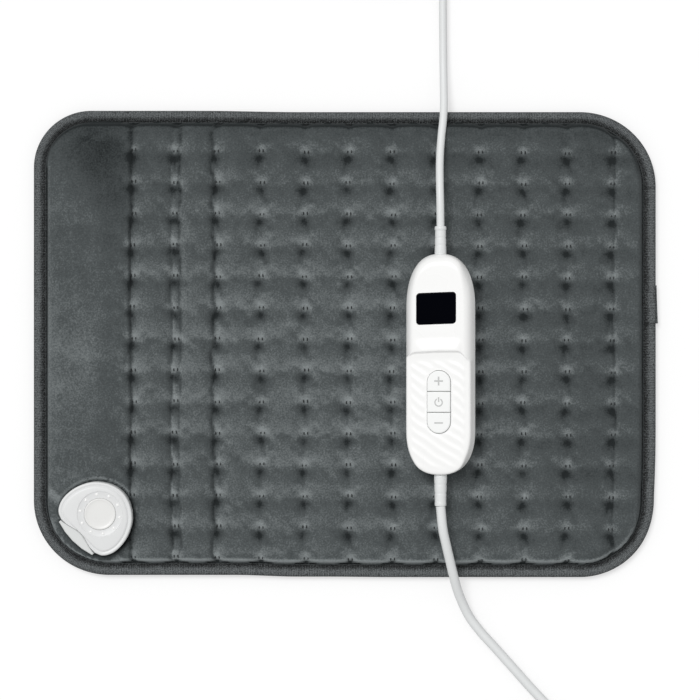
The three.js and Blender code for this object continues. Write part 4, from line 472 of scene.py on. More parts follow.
def ranged(nodes, links, value, low, high, to_low, to_high):
    node = nodes.new("ShaderNodeMapRange")
    links.new(value, node.inputs["Value"])
    for label, number in (("From Min", low), ("From Max", high), ("To Min", to_low), ("To Max", to_high)):
        node.inputs[label].default_value = number
    return node.outputs["Result"]


def make_moulded_grain():
    """Fine grain and faint clouding of a moulded or coated surface."""
    group, given, result = effect("moulded grain", [("Scale", 900)], ["Height", "Cloud"])
    nodes, links = group.nodes, group.links
    place, scale = own_place(nodes), given.outputs["Scale"]
    cloud_scale = maths(nodes, links, "MULTIPLY", scale, 0.05)
    links.new(noise(nodes, links, place, scale, 3, 0.6), result.inputs["Height"])
    links.new(noise(nodes, links, place, cloud_scale, 2), result.inputs["Cloud"])
    return group


def make_brushed_pile():
    """Short pile: specks, patches that were brushed either way, and longer streaks."""
    group, given, result = effect("brushed pile", [("Speck", 1100), ("Patch", 55)], ["Height", "Brush"])
    nodes, links = group.nodes, group.links
    place = own_place(nodes)
    patch = noise(nodes, links, place, given.outputs["Patch"], 6, 0.62, 0.8)
    streak = noise(nodes, links, stretched(nodes, links, place, (2.6, 1, 1), 0.35), 120, 4, 0.65, 0.3)
    patch_share = maths(nodes, links, "MULTIPLY", patch, 0.55)
    links.new(noise(nodes, links, place, given.outputs["Speck"], 2, 0.75), result.inputs["Height"])
    links.new(maths(nodes, links, "MULTIPLY_ADD", streak, 0.45, patch_share), result.inputs["Brush"])
    return group


moulded_grain = make_moulded_grain()
brushed_pile = make_brushed_pile()


def attribute(nodes, name):
    """The value that a mesh's points carry under this name."""
    node = nodes.new("ShaderNodeAttribute")
    node.attribute_name = name
    return node.outputs["Fac"]


class Finish:
    """A material under way: its nodes, its links and its shader."""

    def __init__(self, name, roughness, metallic=0.0, specular=0.5):
        self.material = bpy.data.materials.new(name)
        self.material.use_nodes = True
        self.nodes = self.material.node_tree.nodes
        self.links = self.material.node_tree.links
        self.shader = self.nodes["Principled BSDF"]
        self.shader.inputs["Roughness"].default_value = roughness
        self.shader.inputs["Metallic"].default_value = metallic
        self.shader.inputs["Specular IOR Level"].default_value = specular

    def effect(self, group, **values):
        node = self.nodes.new("ShaderNodeGroup")
        node.node_tree = group
        for label, value in values.items():
            node.inputs[label].default_value = value
        return node

    def tint(self, value, dark, light):
        node = self.nodes.new("ShaderNodeMix")
        node.data_type = "RGBA"
        self.links.new(value, node.inputs["Factor"])
        node.inputs["A"].default_value = dark
        node.inputs["B"].default_value = light
        return node.outputs["Result"]

    def colour(self, output):
        self.links.new(output, self.shader.inputs["Base Color"])

    def bump(self, height, distance, strength=1.0):
        node = self.nodes.new("ShaderNodeBump")
        node.inputs["Distance"].default_value = distance * MM
        node.inputs["Strength"].default_value = strength
        self.links.new(height, node.inputs["Height"])
        self.links.new(node.outputs["Normal"], self.shader.inputs["Normal"])

    def roughness(self, value, low, high):
        self.links.new(
            ranged(self.nodes, self.links, value, 0.3, 0.7, low, high), self.shader.inputs["Roughness"])

    def sheen(self, weight, roughness, tint):
        self.shader.inputs["Sheen Weight"].default_value = weight
        self.shader.inputs["Sheen Roughness"].default_value = roughness
        self.shader.inputs["Sheen Tint"].default_value = tint


def linear(red, green, blue):
    """A colour as a screen shows it, from 0 to 255, turned to light."""
    def channel(value):
        value /= 255
        return value / 12.92 if value <= 0.04045 else ((value + 0.055) / 1.055) ** 2.4
    return (channel(red), channel(green), channel(blue), 1)


def shaded(rgb, share):
    """A colour of three numbers made darker or paler, as light."""
    return linear(*[min(255, channel * share) for channel in rgb])


def moulded(name, rgb, roughness, scale=900, spread=0.02, grain=0.02, specular=0.5):
    """Moulded plastic, rubber or card: one colour, clouded a little, with a fine grain."""
    finish = Finish(name, roughness, specular=specular)
    node = finish.effect(moulded_grain, Scale=scale)
    finish.colour(finish.tint(node.outputs["Cloud"], shaded(rgb, 1 - spread), shaded(rgb, 1 + spread)))
    finish.roughness(node.outputs["Cloud"], roughness * 0.9, roughness * 1.1)
    finish.bump(node.outputs["Height"], grain)
    return finish.material


def make_plush():
    """Velvet with a brushed nap. Its colour carries a painted sheen and shade, paler where a slope faces
    one fixed way and darker where it faces away, and it is darkened further by the painted shade that its
    mesh carries.
    """
    finish = Finish("plush velvet", 0.92, specular=0.15)
    nodes, links = finish.nodes, finish.links
    pile = finish.effect(brushed_pile, Speck=950, Patch=48)
    # Painted sheen and shade: the colour follows which way the surface faces
    facing = nodes.new("ShaderNodeVectorMath")
    facing.operation = "DOT_PRODUCT"
    facing.inputs[1].default_value = SHEEN_FACING
    links.new(nodes.new("ShaderNodeNewGeometry").outputs["Normal"], facing.inputs[0])
    value = ranged(nodes, links, facing.outputs["Value"], -SHEEN_RANGE, SHEEN_RANGE, 0, 1)
    brush = ranged(nodes, links, pile.outputs["Brush"], 0.3, 0.7, -BRUSH_TONE, BRUSH_TONE)
    grain = ranged(nodes, links, pile.outputs["Height"], 0.25, 0.75, -GRAIN_TONE, GRAIN_TONE)
    for tone in (brush, grain, attribute(nodes, "brushed")):
        value = maths(nodes, links, "ADD", value, tone)
    # Painted shade carried by the mesh darkens the colour; where it is below zero it is a painted highlight
    painted_darkening = maths(nodes, links, "MULTIPLY", attribute(nodes, "painted_shading"), SHADING_TONE)
    value = maths(nodes, links, "SUBTRACT", value, painted_darkening, clamp=True)
    ramp = nodes.new("ShaderNodeValToRGB")
    elements = ramp.color_ramp.elements
    elements[0].color = linear(34, 38, 39)
    elements[1].color = linear(144, 150, 151)
    middle = elements.new(0.5)
    middle.color = linear(80, 85, 86)
    links.new(value, ramp.inputs["Fac"])
    finish.colour(ramp.outputs["Color"])
    finish.bump(pile.outputs["Height"], 0.3, 0.7)
    finish.sheen(0.1, 0.5, linear(190, 196, 198))
    return finish.material


def make_fleece():
    finish = Finish("brushed fleece", 0.95, specular=0.1)
    pile = finish.effect(brushed_pile, Speck=700, Patch=80)
    finish.colour(finish.tint(pile.outputs["Brush"], linear(58, 62, 63), linear(88, 92, 93)))
    finish.bump(pile.outputs["Height"], 0.5, 0.8)
    finish.sheen(0.15, 0.5, linear(180, 186, 188))
    return finish.material


def make_ribbed_tape(name, rgb):
    """Woven tape with ribs across it, from the length along it that the mesh carries."""
    finish = Finish(name, 0.85, specular=0.2)
    nodes, links = finish.nodes, finish.links
    pile = finish.effect(brushed_pile, Speck=1300, Patch=150)
    height, brush = pile.outputs["Height"], pile.outputs["Brush"]
    turn = maths(nodes, links, "MULTIPLY", attribute(nodes, "along"), 2 * math.pi / RIB_PITCH)
    wobble = maths(nodes, links, "MULTIPLY_ADD", brush, 9, turn)
    rib = ranged(nodes, links, maths(nodes, links, "SINE", wobble), -1, 1, 0, 1)
    shade = maths(nodes, links, "MULTIPLY_ADD", height, 2.2, maths(nodes, links, "MULTIPLY", rib, 0.34))
    shade = maths(nodes, links, "ADD", shade, maths(nodes, links, "MULTIPLY", brush, 0.5))
    shade = ranged(nodes, links, shade, 1.02, 2.02, 0, 1)
    # Painted shade carried by the mesh darkens the tape
    painted_darkening = maths(nodes, links, "MULTIPLY", attribute(nodes, "painted_shading"), 0.62)
    shade = maths(nodes, links, "SUBTRACT", shade, painted_darkening, clamp=True)
    finish.colour(finish.tint(shade, shaded(rgb, 0.38), shaded(rgb, 1.55)))
    finish.bump(maths(nodes, links, "MULTIPLY_ADD", height, 0.8, rib), 0.3, 0.9)
    finish.sheen(0.08, 0.5, linear(180, 186, 188))
    return finish.material


def make_thread(name, rgb):
    finish = Finish(name, 0.7, specular=0.3)
    node = finish.effect(brushed_pile, Speck=4000, Patch=900)
    finish.colour(finish.tint(node.outputs["Brush"], shaded(rgb, 0.7), shaded(rgb, 1.25)))
    finish.bump(node.outputs["Height"], 0.05)
    return finish.material


def make_brushed_metal(name, rgb, roughness):
    finish = Finish(name, roughness, 1.0)
    nodes, links = finish.nodes, finish.links
    streak = noise(nodes, links, stretched(nodes, links, own_place(nodes), (1, 12, 1)), 700, 4, 0.6)
    finish.colour(finish.tint(streak, shaded(rgb, 0.88), shaded(rgb, 1.08)))
    finish.roughness(streak, roughness * 0.7, roughness * 1.3)
    finish.bump(streak, 0.01)
    return finish.material


def make_board():
    """Green solder mask over copper tracks."""
    finish = Finish("solder mask", 0.35)
    bricks = finish.nodes.new("ShaderNodeTexBrick")
    bricks.inputs["Scale"].default_value = 130
    bricks.inputs["Mortar Size"].default_value = 0.03
    finish.links.new(own_place(finish.nodes), bricks.inputs["Vector"])
    finish.colour(finish.tint(bricks.outputs["Fac"], linear(28, 86, 50), linear(60, 130, 72)))
    finish.bump(bricks.outputs["Fac"], 0.03)
    return finish.material


plush = make_plush()
fleece = make_fleece()
binding_tape = make_ribbed_tape("binding tape", (86, 89, 90))
tie_tape = moulded("tie tape", (44, 46, 48), 0.8, 1600, 0.12, 0.08)
seam_thread = make_thread("seam thread", (66, 70, 71))
tack_thread = make_thread("tack thread", (34, 37, 38))
felt = moulded("pressed felt", (216, 214, 208), 0.95, 500, 0.05, 0.15, specular=0.1)
wire_cover = moulded("wire cover", (232, 226, 208), 0.5, 800)
housing_white = moulded("glossy housing", (250, 250, 249), 0.28, 700, 0.004, 0.006)
key_white = moulded("key top", (247, 248, 247), 0.5, 2600, 0.006, 0.01)
key_mark = moulded("key print", (198, 199, 198), 0.6, 2000, 0.02, 0.005)
display_black = moulded("display glass", (0, 1, 6), 0.12, 500, 0.02, 0.001, specular=0.02)
dark_plastic = moulded("dark plastic", (44, 46, 49), 0.5, 1200, 0.04, 0.02)
black_body = moulded("component body", (32, 34, 36), 0.45, 1500, 0.04, 0.02)
red_resin = moulded("resin coat", (156, 47, 37), 0.3, 600, 0.05, 0.02)
terminal_green = moulded("terminal green", (46, 120, 62), 0.45, 900, 0.04, 0.02)
board_green = make_board()
steel = make_brushed_metal("zinc steel", (180, 184, 188), 0.35)
brass = make_brushed_metal("nickel brass", (201, 165, 82), 0.25)
socket_grey = moulded("socket cover", (227, 228, 228), 0.34, 1100, 0.01, 0.008)
mouth_grey = moulded("socket mouth", (220, 222, 221), 0.38, 1100, 0.01, 0.008)
button_grey = moulded("release button", (234, 234, 232), 0.34, 1100, 0.008, 0.006)
cord_white = moulded("cord jacket", (229, 231, 231), 0.42, 1400, 0.012, 0.012)


# Cords: the same routes and coils as the solids have, drawn with more points

def coil(start, way, hand, diameter, inner, steps_in, steps_out, exit_z):
    """A coil of two layers: in along the floor, up over half a turn, out on top and on to its plug."""
    pitch = diameter + COIL_GAP
    way = np.array([*way, 0.0])
    first = np.array(start, dtype=float) + way * diameter
    side = np.array([-way[1] * hand, way[0] * hand, 0])
    centre = first + side * (inner + pitch * steps_in / TURN_STEPS)
    angle0 = math.atan2(-side[1], -side[0])
    climb = TURN_STEPS / 2
    points = []
    for i in range(int((steps_in + climb + steps_out) * STEP_PARTS) + 1):
        step = i / STEP_PARTS
        turns = (max(steps_in - step, 0) + max(step - steps_in - climb, 0)) / TURN_STEPS
        rise = min(max((step - steps_in) / climb, 0), 1)
        reach = inner + pitch * turns - CLIMB_DRAWN_IN * math.sin(math.pi * rise)
        angle = angle0 + hand * 2 * math.pi * step / TURN_STEPS
        points.append((centre[0] + reach * math.cos(angle), centre[1] + reach * math.sin(angle),
                       first[2] + pitch * rise))
    end = np.array(points[-1])
    leaving = np.array([-math.sin(angle) * hand, math.cos(angle) * hand, 0])
    for i in range(1, TAIL_STEPS + 1):
        share = i / TAIL_STEPS
        eased = float(smooth((share - 1 / 6) / (4 / 6)))
        point = end + leaving * share * TAIL_DIAMETERS * diameter
        point[2] = end[2] + (exit_z - end[2]) * eased
        points.append(point)
    return np.array(points)


def tube(name, path, radius, sides):
    """A round bar along a path, carried round its bends without a twist."""
    path = np.asarray(path)
    ways = np.gradient(path, axis=0)
    ways /= np.linalg.norm(ways, axis=1, keepdims=True)
    across = np.cross((0, 0, 1), ways[0])
    angles = np.arange(sides) * 2 * math.pi / sides
    rings = []
    for point, way in zip(path, ways):
        across = across - way * np.dot(across, way)
        across /= np.linalg.norm(across)
        over = np.cross(way, across)
        rings.append(point + radius * (np.outer(np.cos(angles), across) + np.outer(np.sin(angles), over)))
    return loft(name, rings)


def make_cord(name, route, **facts):
    """A cord and its path: the route from the controller, and the coil that its end is put away in."""
    run = curve_through(route, 5)
    way = run[-1] - run[-2]
    way = way[:2] / np.linalg.norm(way[:2])
    path = np.vstack([run, coil(run[-1], way, **facts)])
    mesh = tube(name, path, facts["diameter"] / 2, CORD_SIDES)
    return new_object(name, mesh, cord_white), path


mains_cord, mains_path = make_cord(
    "mains_cord", MAINS_ROUTE, hand=1, diameter=MAINS_DIAMETER, inner=20.2, steps_in=81, steps_out=81,
    exit_z=MAINS_PLUG_AXIS)
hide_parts("mains_cord_run", "mains_cord_coil")
lead_cord, lead_path = make_cord(
    "lead_cord", LEAD_ROUTE, hand=-1, diameter=LEAD_DIAMETER, inner=29.5, steps_in=24, steps_out=21,
    exit_z=LEAD_PLUG_AXIS)
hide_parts("lead_cord_run", "lead_cord_coil")
np.array(MAINS_ROUTE[0]) * MM
np.array(LEAD_ROUTE[0]) * MM


# Pad

def pad_inset(x, y):
    """How far inside the pad's outline a point is."""
    radius = np.where((x < 0) & (y > 0), TIGHT_CORNER, CORNER)
    over_x = np.abs(x) - (HALF_LENGTH - radius)
    over_y = np.abs(y) - (HALF_WIDTH - radius)
    corner = np.hypot(np.maximum(over_x, 0), np.maximum(over_y, 0))
    return radius - corner - np.minimum(np.maximum(over_x, over_y), 0)


def pad_outline(inset, step):
    """Points round the pad at one inset, anticlockwise and about a step apart."""
    corners = [(1, 1, CORNER, 0), (-1, 1, TIGHT_CORNER, 90), (-1, -1, CORNER, 180), (1, -1, CORNER, 270)]
    points = []
    for sx, sy, radius, start in corners:
        x, y = sx * (HALF_LENGTH - radius), sy * (HALF_WIDTH - radius)
        points.extend(arc(x, y, radius - inset, start, start + 90, max(8, round(radius * 1.57 / step))))
    points = np.array(points)
    filled = []
    for here, there in zip(points, np.roll(points, -1, axis=0)):
        count = max(1, round(np.linalg.norm(there - here) / step))
        filled.extend(here + (there - here) * i / count for i in range(count))
    return np.array(filled)


def socket_local(x, y):
    turn = math.radians(SOCKET_TURN)
    dx, dy = x - SOCKET_AT[0], y - SOCKET_AT[1]
    return dx * math.cos(turn) + dy * math.sin(turn), dy * math.cos(turn) - dx * math.sin(turn)


def socket_side(inset):
    """The housing's side, round from one end of its lip to the other, at one inset."""
    half = np.array(SIDE_POINTS)
    mirrored = half[:0:-1] * (1, -1)
    curve = curve_through(np.vstack([mirrored, half]), 8)
    way = np.gradient(curve, axis=0)
    way /= np.linalg.norm(way, axis=1, keepdims=True)
    return curve + np.column_stack([way[:, 1], -way[:, 0]]) * inset


def lip_arc(half, steps=24):
    """The bowed front edge of the socket's mouth."""
    shares = np.linspace(-half, half, steps + 1)
    bow = np.sqrt(SOCKET_LIP_RADIUS**2 - shares**2)
    return np.column_stack([SOCKET_LIP_X - SOCKET_LIP_RADIUS + bow, shares])


def outside_socket(x, y):
    """Rough distance from a point to the socket's outline, below zero inside it."""
    outline = np.vstack([socket_side(SOCKET_TRIM)[::-1], lip_arc(SOCKET_LIP_HALF)])
    angles = np.arctan2(outline[:, 1], outline[:, 0])
    order = np.argsort(angles)
    u, v = socket_local(x, y)
    reach = np.interp(np.arctan2(v, u), angles[order], np.hypot(*outline[order].T), period=2 * math.pi)
    return np.hypot(u, v) - reach


def column_wander(column, row):
    """How far a column's tacks stray sideways from their even places."""
    own = np.select([column == 0, column == 1, column == COLUMNS - 1], [0.5, -0.3, -0.5], -1.2)
    return own + 0.5 * np.sin(1.7 * column + 0.9 * row) + 0.35 * np.sin(2.9 * row + column)


def row_drop(x):
    """How much lower a row lies at x than at the pad's left edge."""
    return ROW_DROP * (x + HALF_LENGTH) / (2 * HALF_LENGTH)


def tack_places():
    """The middle of each pair of stitches, where no socket covers it."""
    for column in range(COLUMNS):
        for row in range(ROWS):
            x = FIRST_COLUMN + column * COLUMN_PITCH + column_wander(column, row)
            y = FIRST_ROW - row * ROW_PITCH - row_drop(x)
            y += 1.2 + 0.4 * math.sin(2.3 * column + 1.3 * row)
            if row and outside_socket(np.array([x]), np.array([y]))[0] > 2:
                yield x, y


TACKS = list(tack_places())


def column_offset(x, y):
    """Signed distance to the nearest column of tacks, that column's number and the row's."""
    column = np.clip(np.round((x - FIRST_COLUMN) / COLUMN_PITCH), 0, COLUMNS - 1)
    row = (FIRST_ROW - row_drop(x) - y) / ROW_PITCH
    return x - FIRST_COLUMN - column * COLUMN_PITCH - column_wander(column, row), column, row


def undulation(x, y):
    """The slow unevenness of the filling."""
    return 0.3 * np.sin(x / 17 + 1.3) * np.sin(y / 23 + 0.4) + 0.14 * np.sin(x / 7.3 + y / 11) * np.sin(
        y / 8.1 - x / 13) + 0.04 * np.sin(x / 3.1 - y / 4.7) * np.sin(x / 5.3 + y / 3.7)


def fold(across, depth, left, right):
    """A crease: steep on its left side and wide on its right, or the other way."""
    return depth * np.where(across < 0, np.exp(across / left), np.exp(-across / right))


def long_folds(dx, column, row):
    """The creases that run the pad's whole width beside the first three columns, and the last one."""
    at_tack = (0.5 + 0.5 * np.cos(2 * math.pi * row)) ** 1.5
    waver = 0.35 * np.sin(5.1 * row + 2 * column) + 0.2 * np.sin(11.7 * row)
    upper = smooth((9 - row) / 5)
    first = fold(dx + 1.5 - 0.4 * waver, 1.7, 0.5, 3.2)
    second = (0.5 + 0.5 * upper) * fold(dx - 3.2 + 0.8 * at_tack - waver, 1.4, 0.6, 3.4)
    second = second + (1.1 - 0.5 * upper) * fold(dx + 2.2 - waver, 1.0, 1.3, 0.8)
    third = fold(dx + 3.2 - 1.4 * at_tack - waver, 1.6, 0.9, 3.6)
    last = fold(dx - 1.2 + 0.4 * at_tack - 0.5 * waver, 0.9, 0.5, 2.4)
    columns = [column == number for number in (0, 1, 2, COLUMNS - 1)]
    return np.select(columns, [first, second, third, last], 0)


def sewn_columns(x, y):
    """The face between its tufts: the crown less the channels, rows and long folds, and the painted shade
    in the folds and on the side of each fold that slopes one way.
    """
    dx, column, row = column_offset(x, y)
    near_row = np.clip(np.round(row), 0, ROWS)
    below = (row - near_row) * ROW_PITCH
    share = np.clip(np.abs(dx) / (COLUMN_PITCH / 2), 0, 1)
    soft = np.where(column < 3, 1.5, 1.0)
    valley = CHANNEL_DEPTH * soft * (1 - share) ** 2
    uneven = 0.75 + 0.5 * np.sin(3.1 * column + 1.9 * near_row) * np.sin(1.3 * column - 2.7 * near_row)
    sag = np.cos(math.pi * below / ROW_PITCH) ** 2 + 0.2 * np.exp(-np.abs(below) / 2)
    trough = ROW_DEPTH * uneven * sag
    folds = long_folds(dx, column, row)
    outer = smooth((FIRST_COLUMN - 1 - x) / 14)
    beyond = (x > FIRST_COLUMN - 2).astype(float)
    z = CROWN - (valley + trough) * beyond - folds * (1 - outer) - BAND_DEPTH * (1 - beyond) * (
        0.6 + 0.4 * outer)
    aside = 0.3
    slope = (long_folds(dx + aside, column, row) - long_folds(dx - aside, column, row)) / (2 * aside)
    # Painted shade in the long folds, and on one side of each fold
    painted_shading = (np.clip(0.3 * folds - 0.2, 0, 1) + 0.4 * np.clip(slope, -0.7, 0.5)) * (1 - outer)
    return z, painted_shading


def sewn_tuft(number, from_x, from_y, z, painted_shading):
    """One tuft: the dent, its wrinkles and stitch holes and the crease below it, with painted shade in the
    holes and crease, a painted shadow trailing and pooling below it and a painted highlight above it.
    """
    own = 0.78 + 0.42 * abs(math.sin(7.3 * number + 1))
    highlight_strength = 0.6 + 0.8 * abs(math.sin(5.1 * number + 2))
    tilt = 0.35 * math.sin(2.9 * number)
    u, v = from_x + TUFT_ASIDE, from_y + TUFT_BELOW
    across, up = u * math.cos(tilt) + v * math.sin(tilt), v * math.cos(tilt) - u * math.sin(tilt)
    reach = np.hypot(across, up)
    angle = np.arctan2(up, across)
    wrinkles = 0.5 * np.cos(7 * angle + 2.4 * number) + 0.4 * np.cos(4 * angle + 1.7 * number)
    z = z - TUFT_DEPTH * own * np.exp(-((reach / TUFT_REACH) ** TUFT_POWER))
    z += WRINKLE_HEIGHT * wrinkles * (reach / 3) * np.exp(-reach / 2.8)
    for side in (-1, 1):
        near = ((from_x - side * STITCH_GAP) / HOLE_SIZE[0]) ** 2 + ((from_y + 0.4) / HOLE_SIZE[1]) ** 2
        z -= HOLE_DEPTH * np.exp(-near)
        # Painted shade in each stitch hole
        painted_shading = painted_shading + HOLE_SHADE * np.exp(-near)
    under = np.clip(-from_y - 1.2, 0, None)
    crease = np.exp(-np.abs(across + 0.3 * np.sin(under / 2)) / (0.5 + 0.35 * np.exp(-under / 3)))
    crease *= smooth(under / 1.5) * np.exp(-((under / CREASE_LENGTH) ** 2))
    z -= CREASE_DEPTH * own * crease
    # Painted shade along the crease
    painted_shading += CREASE_SHADE * own * crease
    # A painted shadow trailing down below the tuft
    trail_length = TRAIL_LENGTH + 3 * math.sin(5.3 * number)
    trail = smooth((under - 1.5) / 3) * np.exp(-((under / trail_length) ** 4))
    painted_shading += TRAIL_SHADOW * own * trail * np.exp(-(((across + 0.3) / TRAIL_WIDTH) ** 2))
    # A painted shadow pooled just below the tuft
    shade = (across / SHADE_SIZE[0]) ** 2 + ((up + SHADE_BELOW) / SHADE_SIZE[1]) ** 2
    painted_shading += SHADE_STRENGTH * own * np.exp(-shade)
    # A painted highlight just above the tuft
    highlight_middle, highlight_width = 0.6 * math.sin(3.7 * number), HIGHLIGHT_SIZE[0] + 0.6 * math.sin(4.1 * number)
    highlight = ((across - highlight_middle) / highlight_width) ** 2 + ((up - HIGHLIGHT_ABOVE) / HIGHLIGHT_SIZE[1]) ** 2
    painted_shading -= HIGHLIGHT_TONE * highlight_strength * np.exp(-highlight)
    return z, painted_shading


def sewn_edge(x, y, z, painted_shading):
    """Rolls the face down into the groove beside the binding, drawn in where a column ends, and paints
    shade into the groove and along the rim of the bottom edge.
    """
    dx, _, _ = column_offset(x, y)
    inset = pad_inset(x, y)
    across_end = np.clip((np.abs(y) - 118) / 18, 0, 1)
    scallop = SCALLOP * np.exp(-np.abs(dx) / 4) * across_end * (x > SCALLOPED_FROM)
    start = GROOVE_INSET - 1.3 * smooth((y - 110) / 20) - 0.4 * smooth((-y - 110) / 20)
    share = np.clip((inset - scallop - start) / EDGE_RUN, 0, 1)
    floor = GROOVE_TOP + 0.1
    edge = floor + (CROWN + 0.8 - GROOVE_TOP) * (1 - (1 - share) ** 3) ** 0.6
    notch = 2.2 * np.exp(-np.abs(dx) / 1.1) * np.exp(-np.clip(inset - start, 0, None) / 3.5)
    edge = np.maximum(edge - notch * across_end * (x > SCALLOPED_FROM), floor)
    gap = np.clip((edge - z) / EDGE_BLEND, -1, 1)
    between = (edge + z) / 2 - EDGE_BLEND * (1 + gap**2) / 4
    z = np.where(gap >= 1, z, np.where(gap <= -1, edge, between))
    # Painted shade in the groove beside the binding, less of it on the right, and a band of painted shade
    # along the bottom edge's rim
    right = smooth((x - 150) / 30)
    painted_shading = painted_shading + (0.9 - 0.4 * right) * smooth((start + 1.5 - 0.6 * right - inset + scallop) / 2.6)
    rim = np.exp(-(((inset - start - 4.5) / 2.6) ** 2))
    painted_shading += 0.11 * rim * smooth((-y - 118) / 14)
    return z, painted_shading


def round_socket(x, y, z, painted_shading):
    """Lets the face dip to the socket's foot, deeper on the side of its mouth, with a painted shadow in a
    ring round the foot.
    """
    away = outside_socket(x, y)
    u, _ = socket_local(x, y)
    foot, mouth_side = 8.85, smooth((u - 6) / 12)
    rise = np.clip((away - 0.9) / 3.5, 0, 1)
    full = CROWN + 1.2 - (CROWN - 9) * mouth_side
    dish = foot + (full - foot) * np.sqrt(1 - (1 - rise) ** 2)
    z = np.where(away < 5 + 35 * mouth_side, np.minimum(z, dish), z)
    # A painted shadow in a ring round the socket's foot
    return z, painted_shading + 0.5 * smooth((1.4 - np.abs(away - 0.3)) / 1.4)


def quilt_height(x, y):
    """The plush face: its height, the painted shade at each point (below zero, a painted highlight), and
    how its nap was brushed.
    """
    z, painted_shading = sewn_columns(x, y)
    for number, (tack_x, tack_y) in enumerate(TACKS):
        near = (np.abs(x - tack_x) < TUFT_WINDOW[0]) & (np.abs(y - tack_y) < TUFT_WINDOW[1])
        z[near], painted_shading[near] = sewn_tuft(number, x[near] - tack_x, y[near] - tack_y, z[near], painted_shading[near])
    z, painted_shading = sewn_edge(x, y, z + undulation(x, y), painted_shading)
    z, painted_shading = round_socket(x, y, z, painted_shading)
    return z, np.clip(painted_shading, -0.35, 1), brush_marks(x, y)


BRUSH_MARKS = [
    (-160, 130, 24, 26, -0.26), (-146, 88, 16, 36, -0.12), (0, 138, 400, 32, -0.1),
    (160, 0, 50, 260, -0.07), (168, -70, 40, 40, -0.05), (-30, -20, 110, 75, 0.06),
    (20, -62, 80, 26, 0.03), (-190, 0, 9, 80, 0.1), (-150, -10, 8, 110, -0.06), (-168, -8, 12, 24, 0.11),
    (-180, 55, 14, 22, -0.07), (-160, 108, 9, 10, -0.09), (-158, -62, 10, 8, -0.07),
    (-146, -75, 9, 12, -0.06), (-144, 22, 6, 8, -0.07), (-146, 97, 8, 8, -0.06), (-53, -30, 7, 6, -0.12),
    (12, -62, 6, 8, -0.08), (18, 42, 14, 60, 0.03),
]


def brush_marks(x, y):
    """Places where the nap was stroked down, darker, or up, paler: middle, half width, height, strength."""
    total = np.zeros_like(x)
    for at_x, at_y, wide, tall, strength in BRUSH_MARKS:
        total += strength * np.exp(-(((x - at_x) / wide) ** 2) - ((y - at_y) / tall) ** 2)
    return total


def warp(points):
    """Lets the sewn pad stray a little from its drawn outline, as the real one does."""
    points = np.array(points, dtype=float)
    x, y = points[:, 0].copy(), points[:, 1].copy()
    upper = np.clip(y / HALF_WIDTH, 0, 1) ** 4
    lower = np.clip(-y / HALF_WIDTH, 0, 1) ** 4
    right = np.clip(x / HALF_LENGTH, 0, 1) ** 4
    points[:, 1] -= upper * (0.3 + 0.8 * smooth((x + 90) / 60))
    points[:, 1] += lower * (1.1 * smooth((-x - 30) / 40) - 0.3 * smooth((x + 10) / 40))
    points[:, 0] -= right * 1.2 * np.exp(-((y + 108) / 26) ** 2)
    return points


def pad_grid(step):
    count_y = round(2 * (HALF_WIDTH - QUILT_INSET) / step)
    count_x = round(2 * (HALF_LENGTH - QUILT_INSET) / step)
    ys = np.linspace(QUILT_INSET - HALF_WIDTH, HALF_WIDTH - QUILT_INSET, count_y + 1)
    reaches = []
    for sign, radii in ((-1, (CORNER, TIGHT_CORNER)), (1, (CORNER, CORNER))):
        radius = np.where(ys > 0, radii[1], radii[0])
        over = np.maximum(np.abs(ys) - (HALF_WIDTH - radius), 0)
        reach = HALF_LENGTH - radius + np.sqrt(np.maximum((radius - QUILT_INSET) ** 2 - over**2, 0))
        reaches.append(sign * reach)
    shares = np.linspace(0, 1, count_x + 1)
    x = reaches[0][:, None] + (reaches[1] - reaches[0])[:, None] * shares[None, :]
    return x, np.repeat(ys[:, None], count_x + 1, axis=1)


def grid_faces(rows, columns):
    first = (np.arange(rows - 1)[:, None] * columns + np.arange(columns - 1)[None, :]).ravel()
    return np.column_stack([first, first + 1, first + columns + 1, first + columns]).tolist()


def grid_border(rows, columns):
    """The grid's outermost points, once round from its first corner."""
    return [*range(columns), *(row * columns + columns - 1 for row in range(1, rows)),
            *((rows - 1) * columns + column for column in range(columns - 2, -1, -1)),
            *(row * columns for row in range(rows - 2, 0, -1))]


def interpolation(count, coarse):
    """Weights that spread values at a few even places smoothly over many, by cubic curves."""
    weights = np.zeros((count, coarse))
    for i in range(count):
        spot = i * (coarse - 1) / (count - 1)
        base = min(int(spot), coarse - 2)
        s = spot - base
        parts = (-s**3 + 2 * s**2 - s, 3 * s**3 - 5 * s**2 + 2, -3 * s**3 + 4 * s**2 + s, s**3 - s**2)
        for shift, part in zip((-1, 0, 1, 2), parts):
            weights[i, min(max(base + shift, 0), coarse - 1)] += part / 2
    return weights


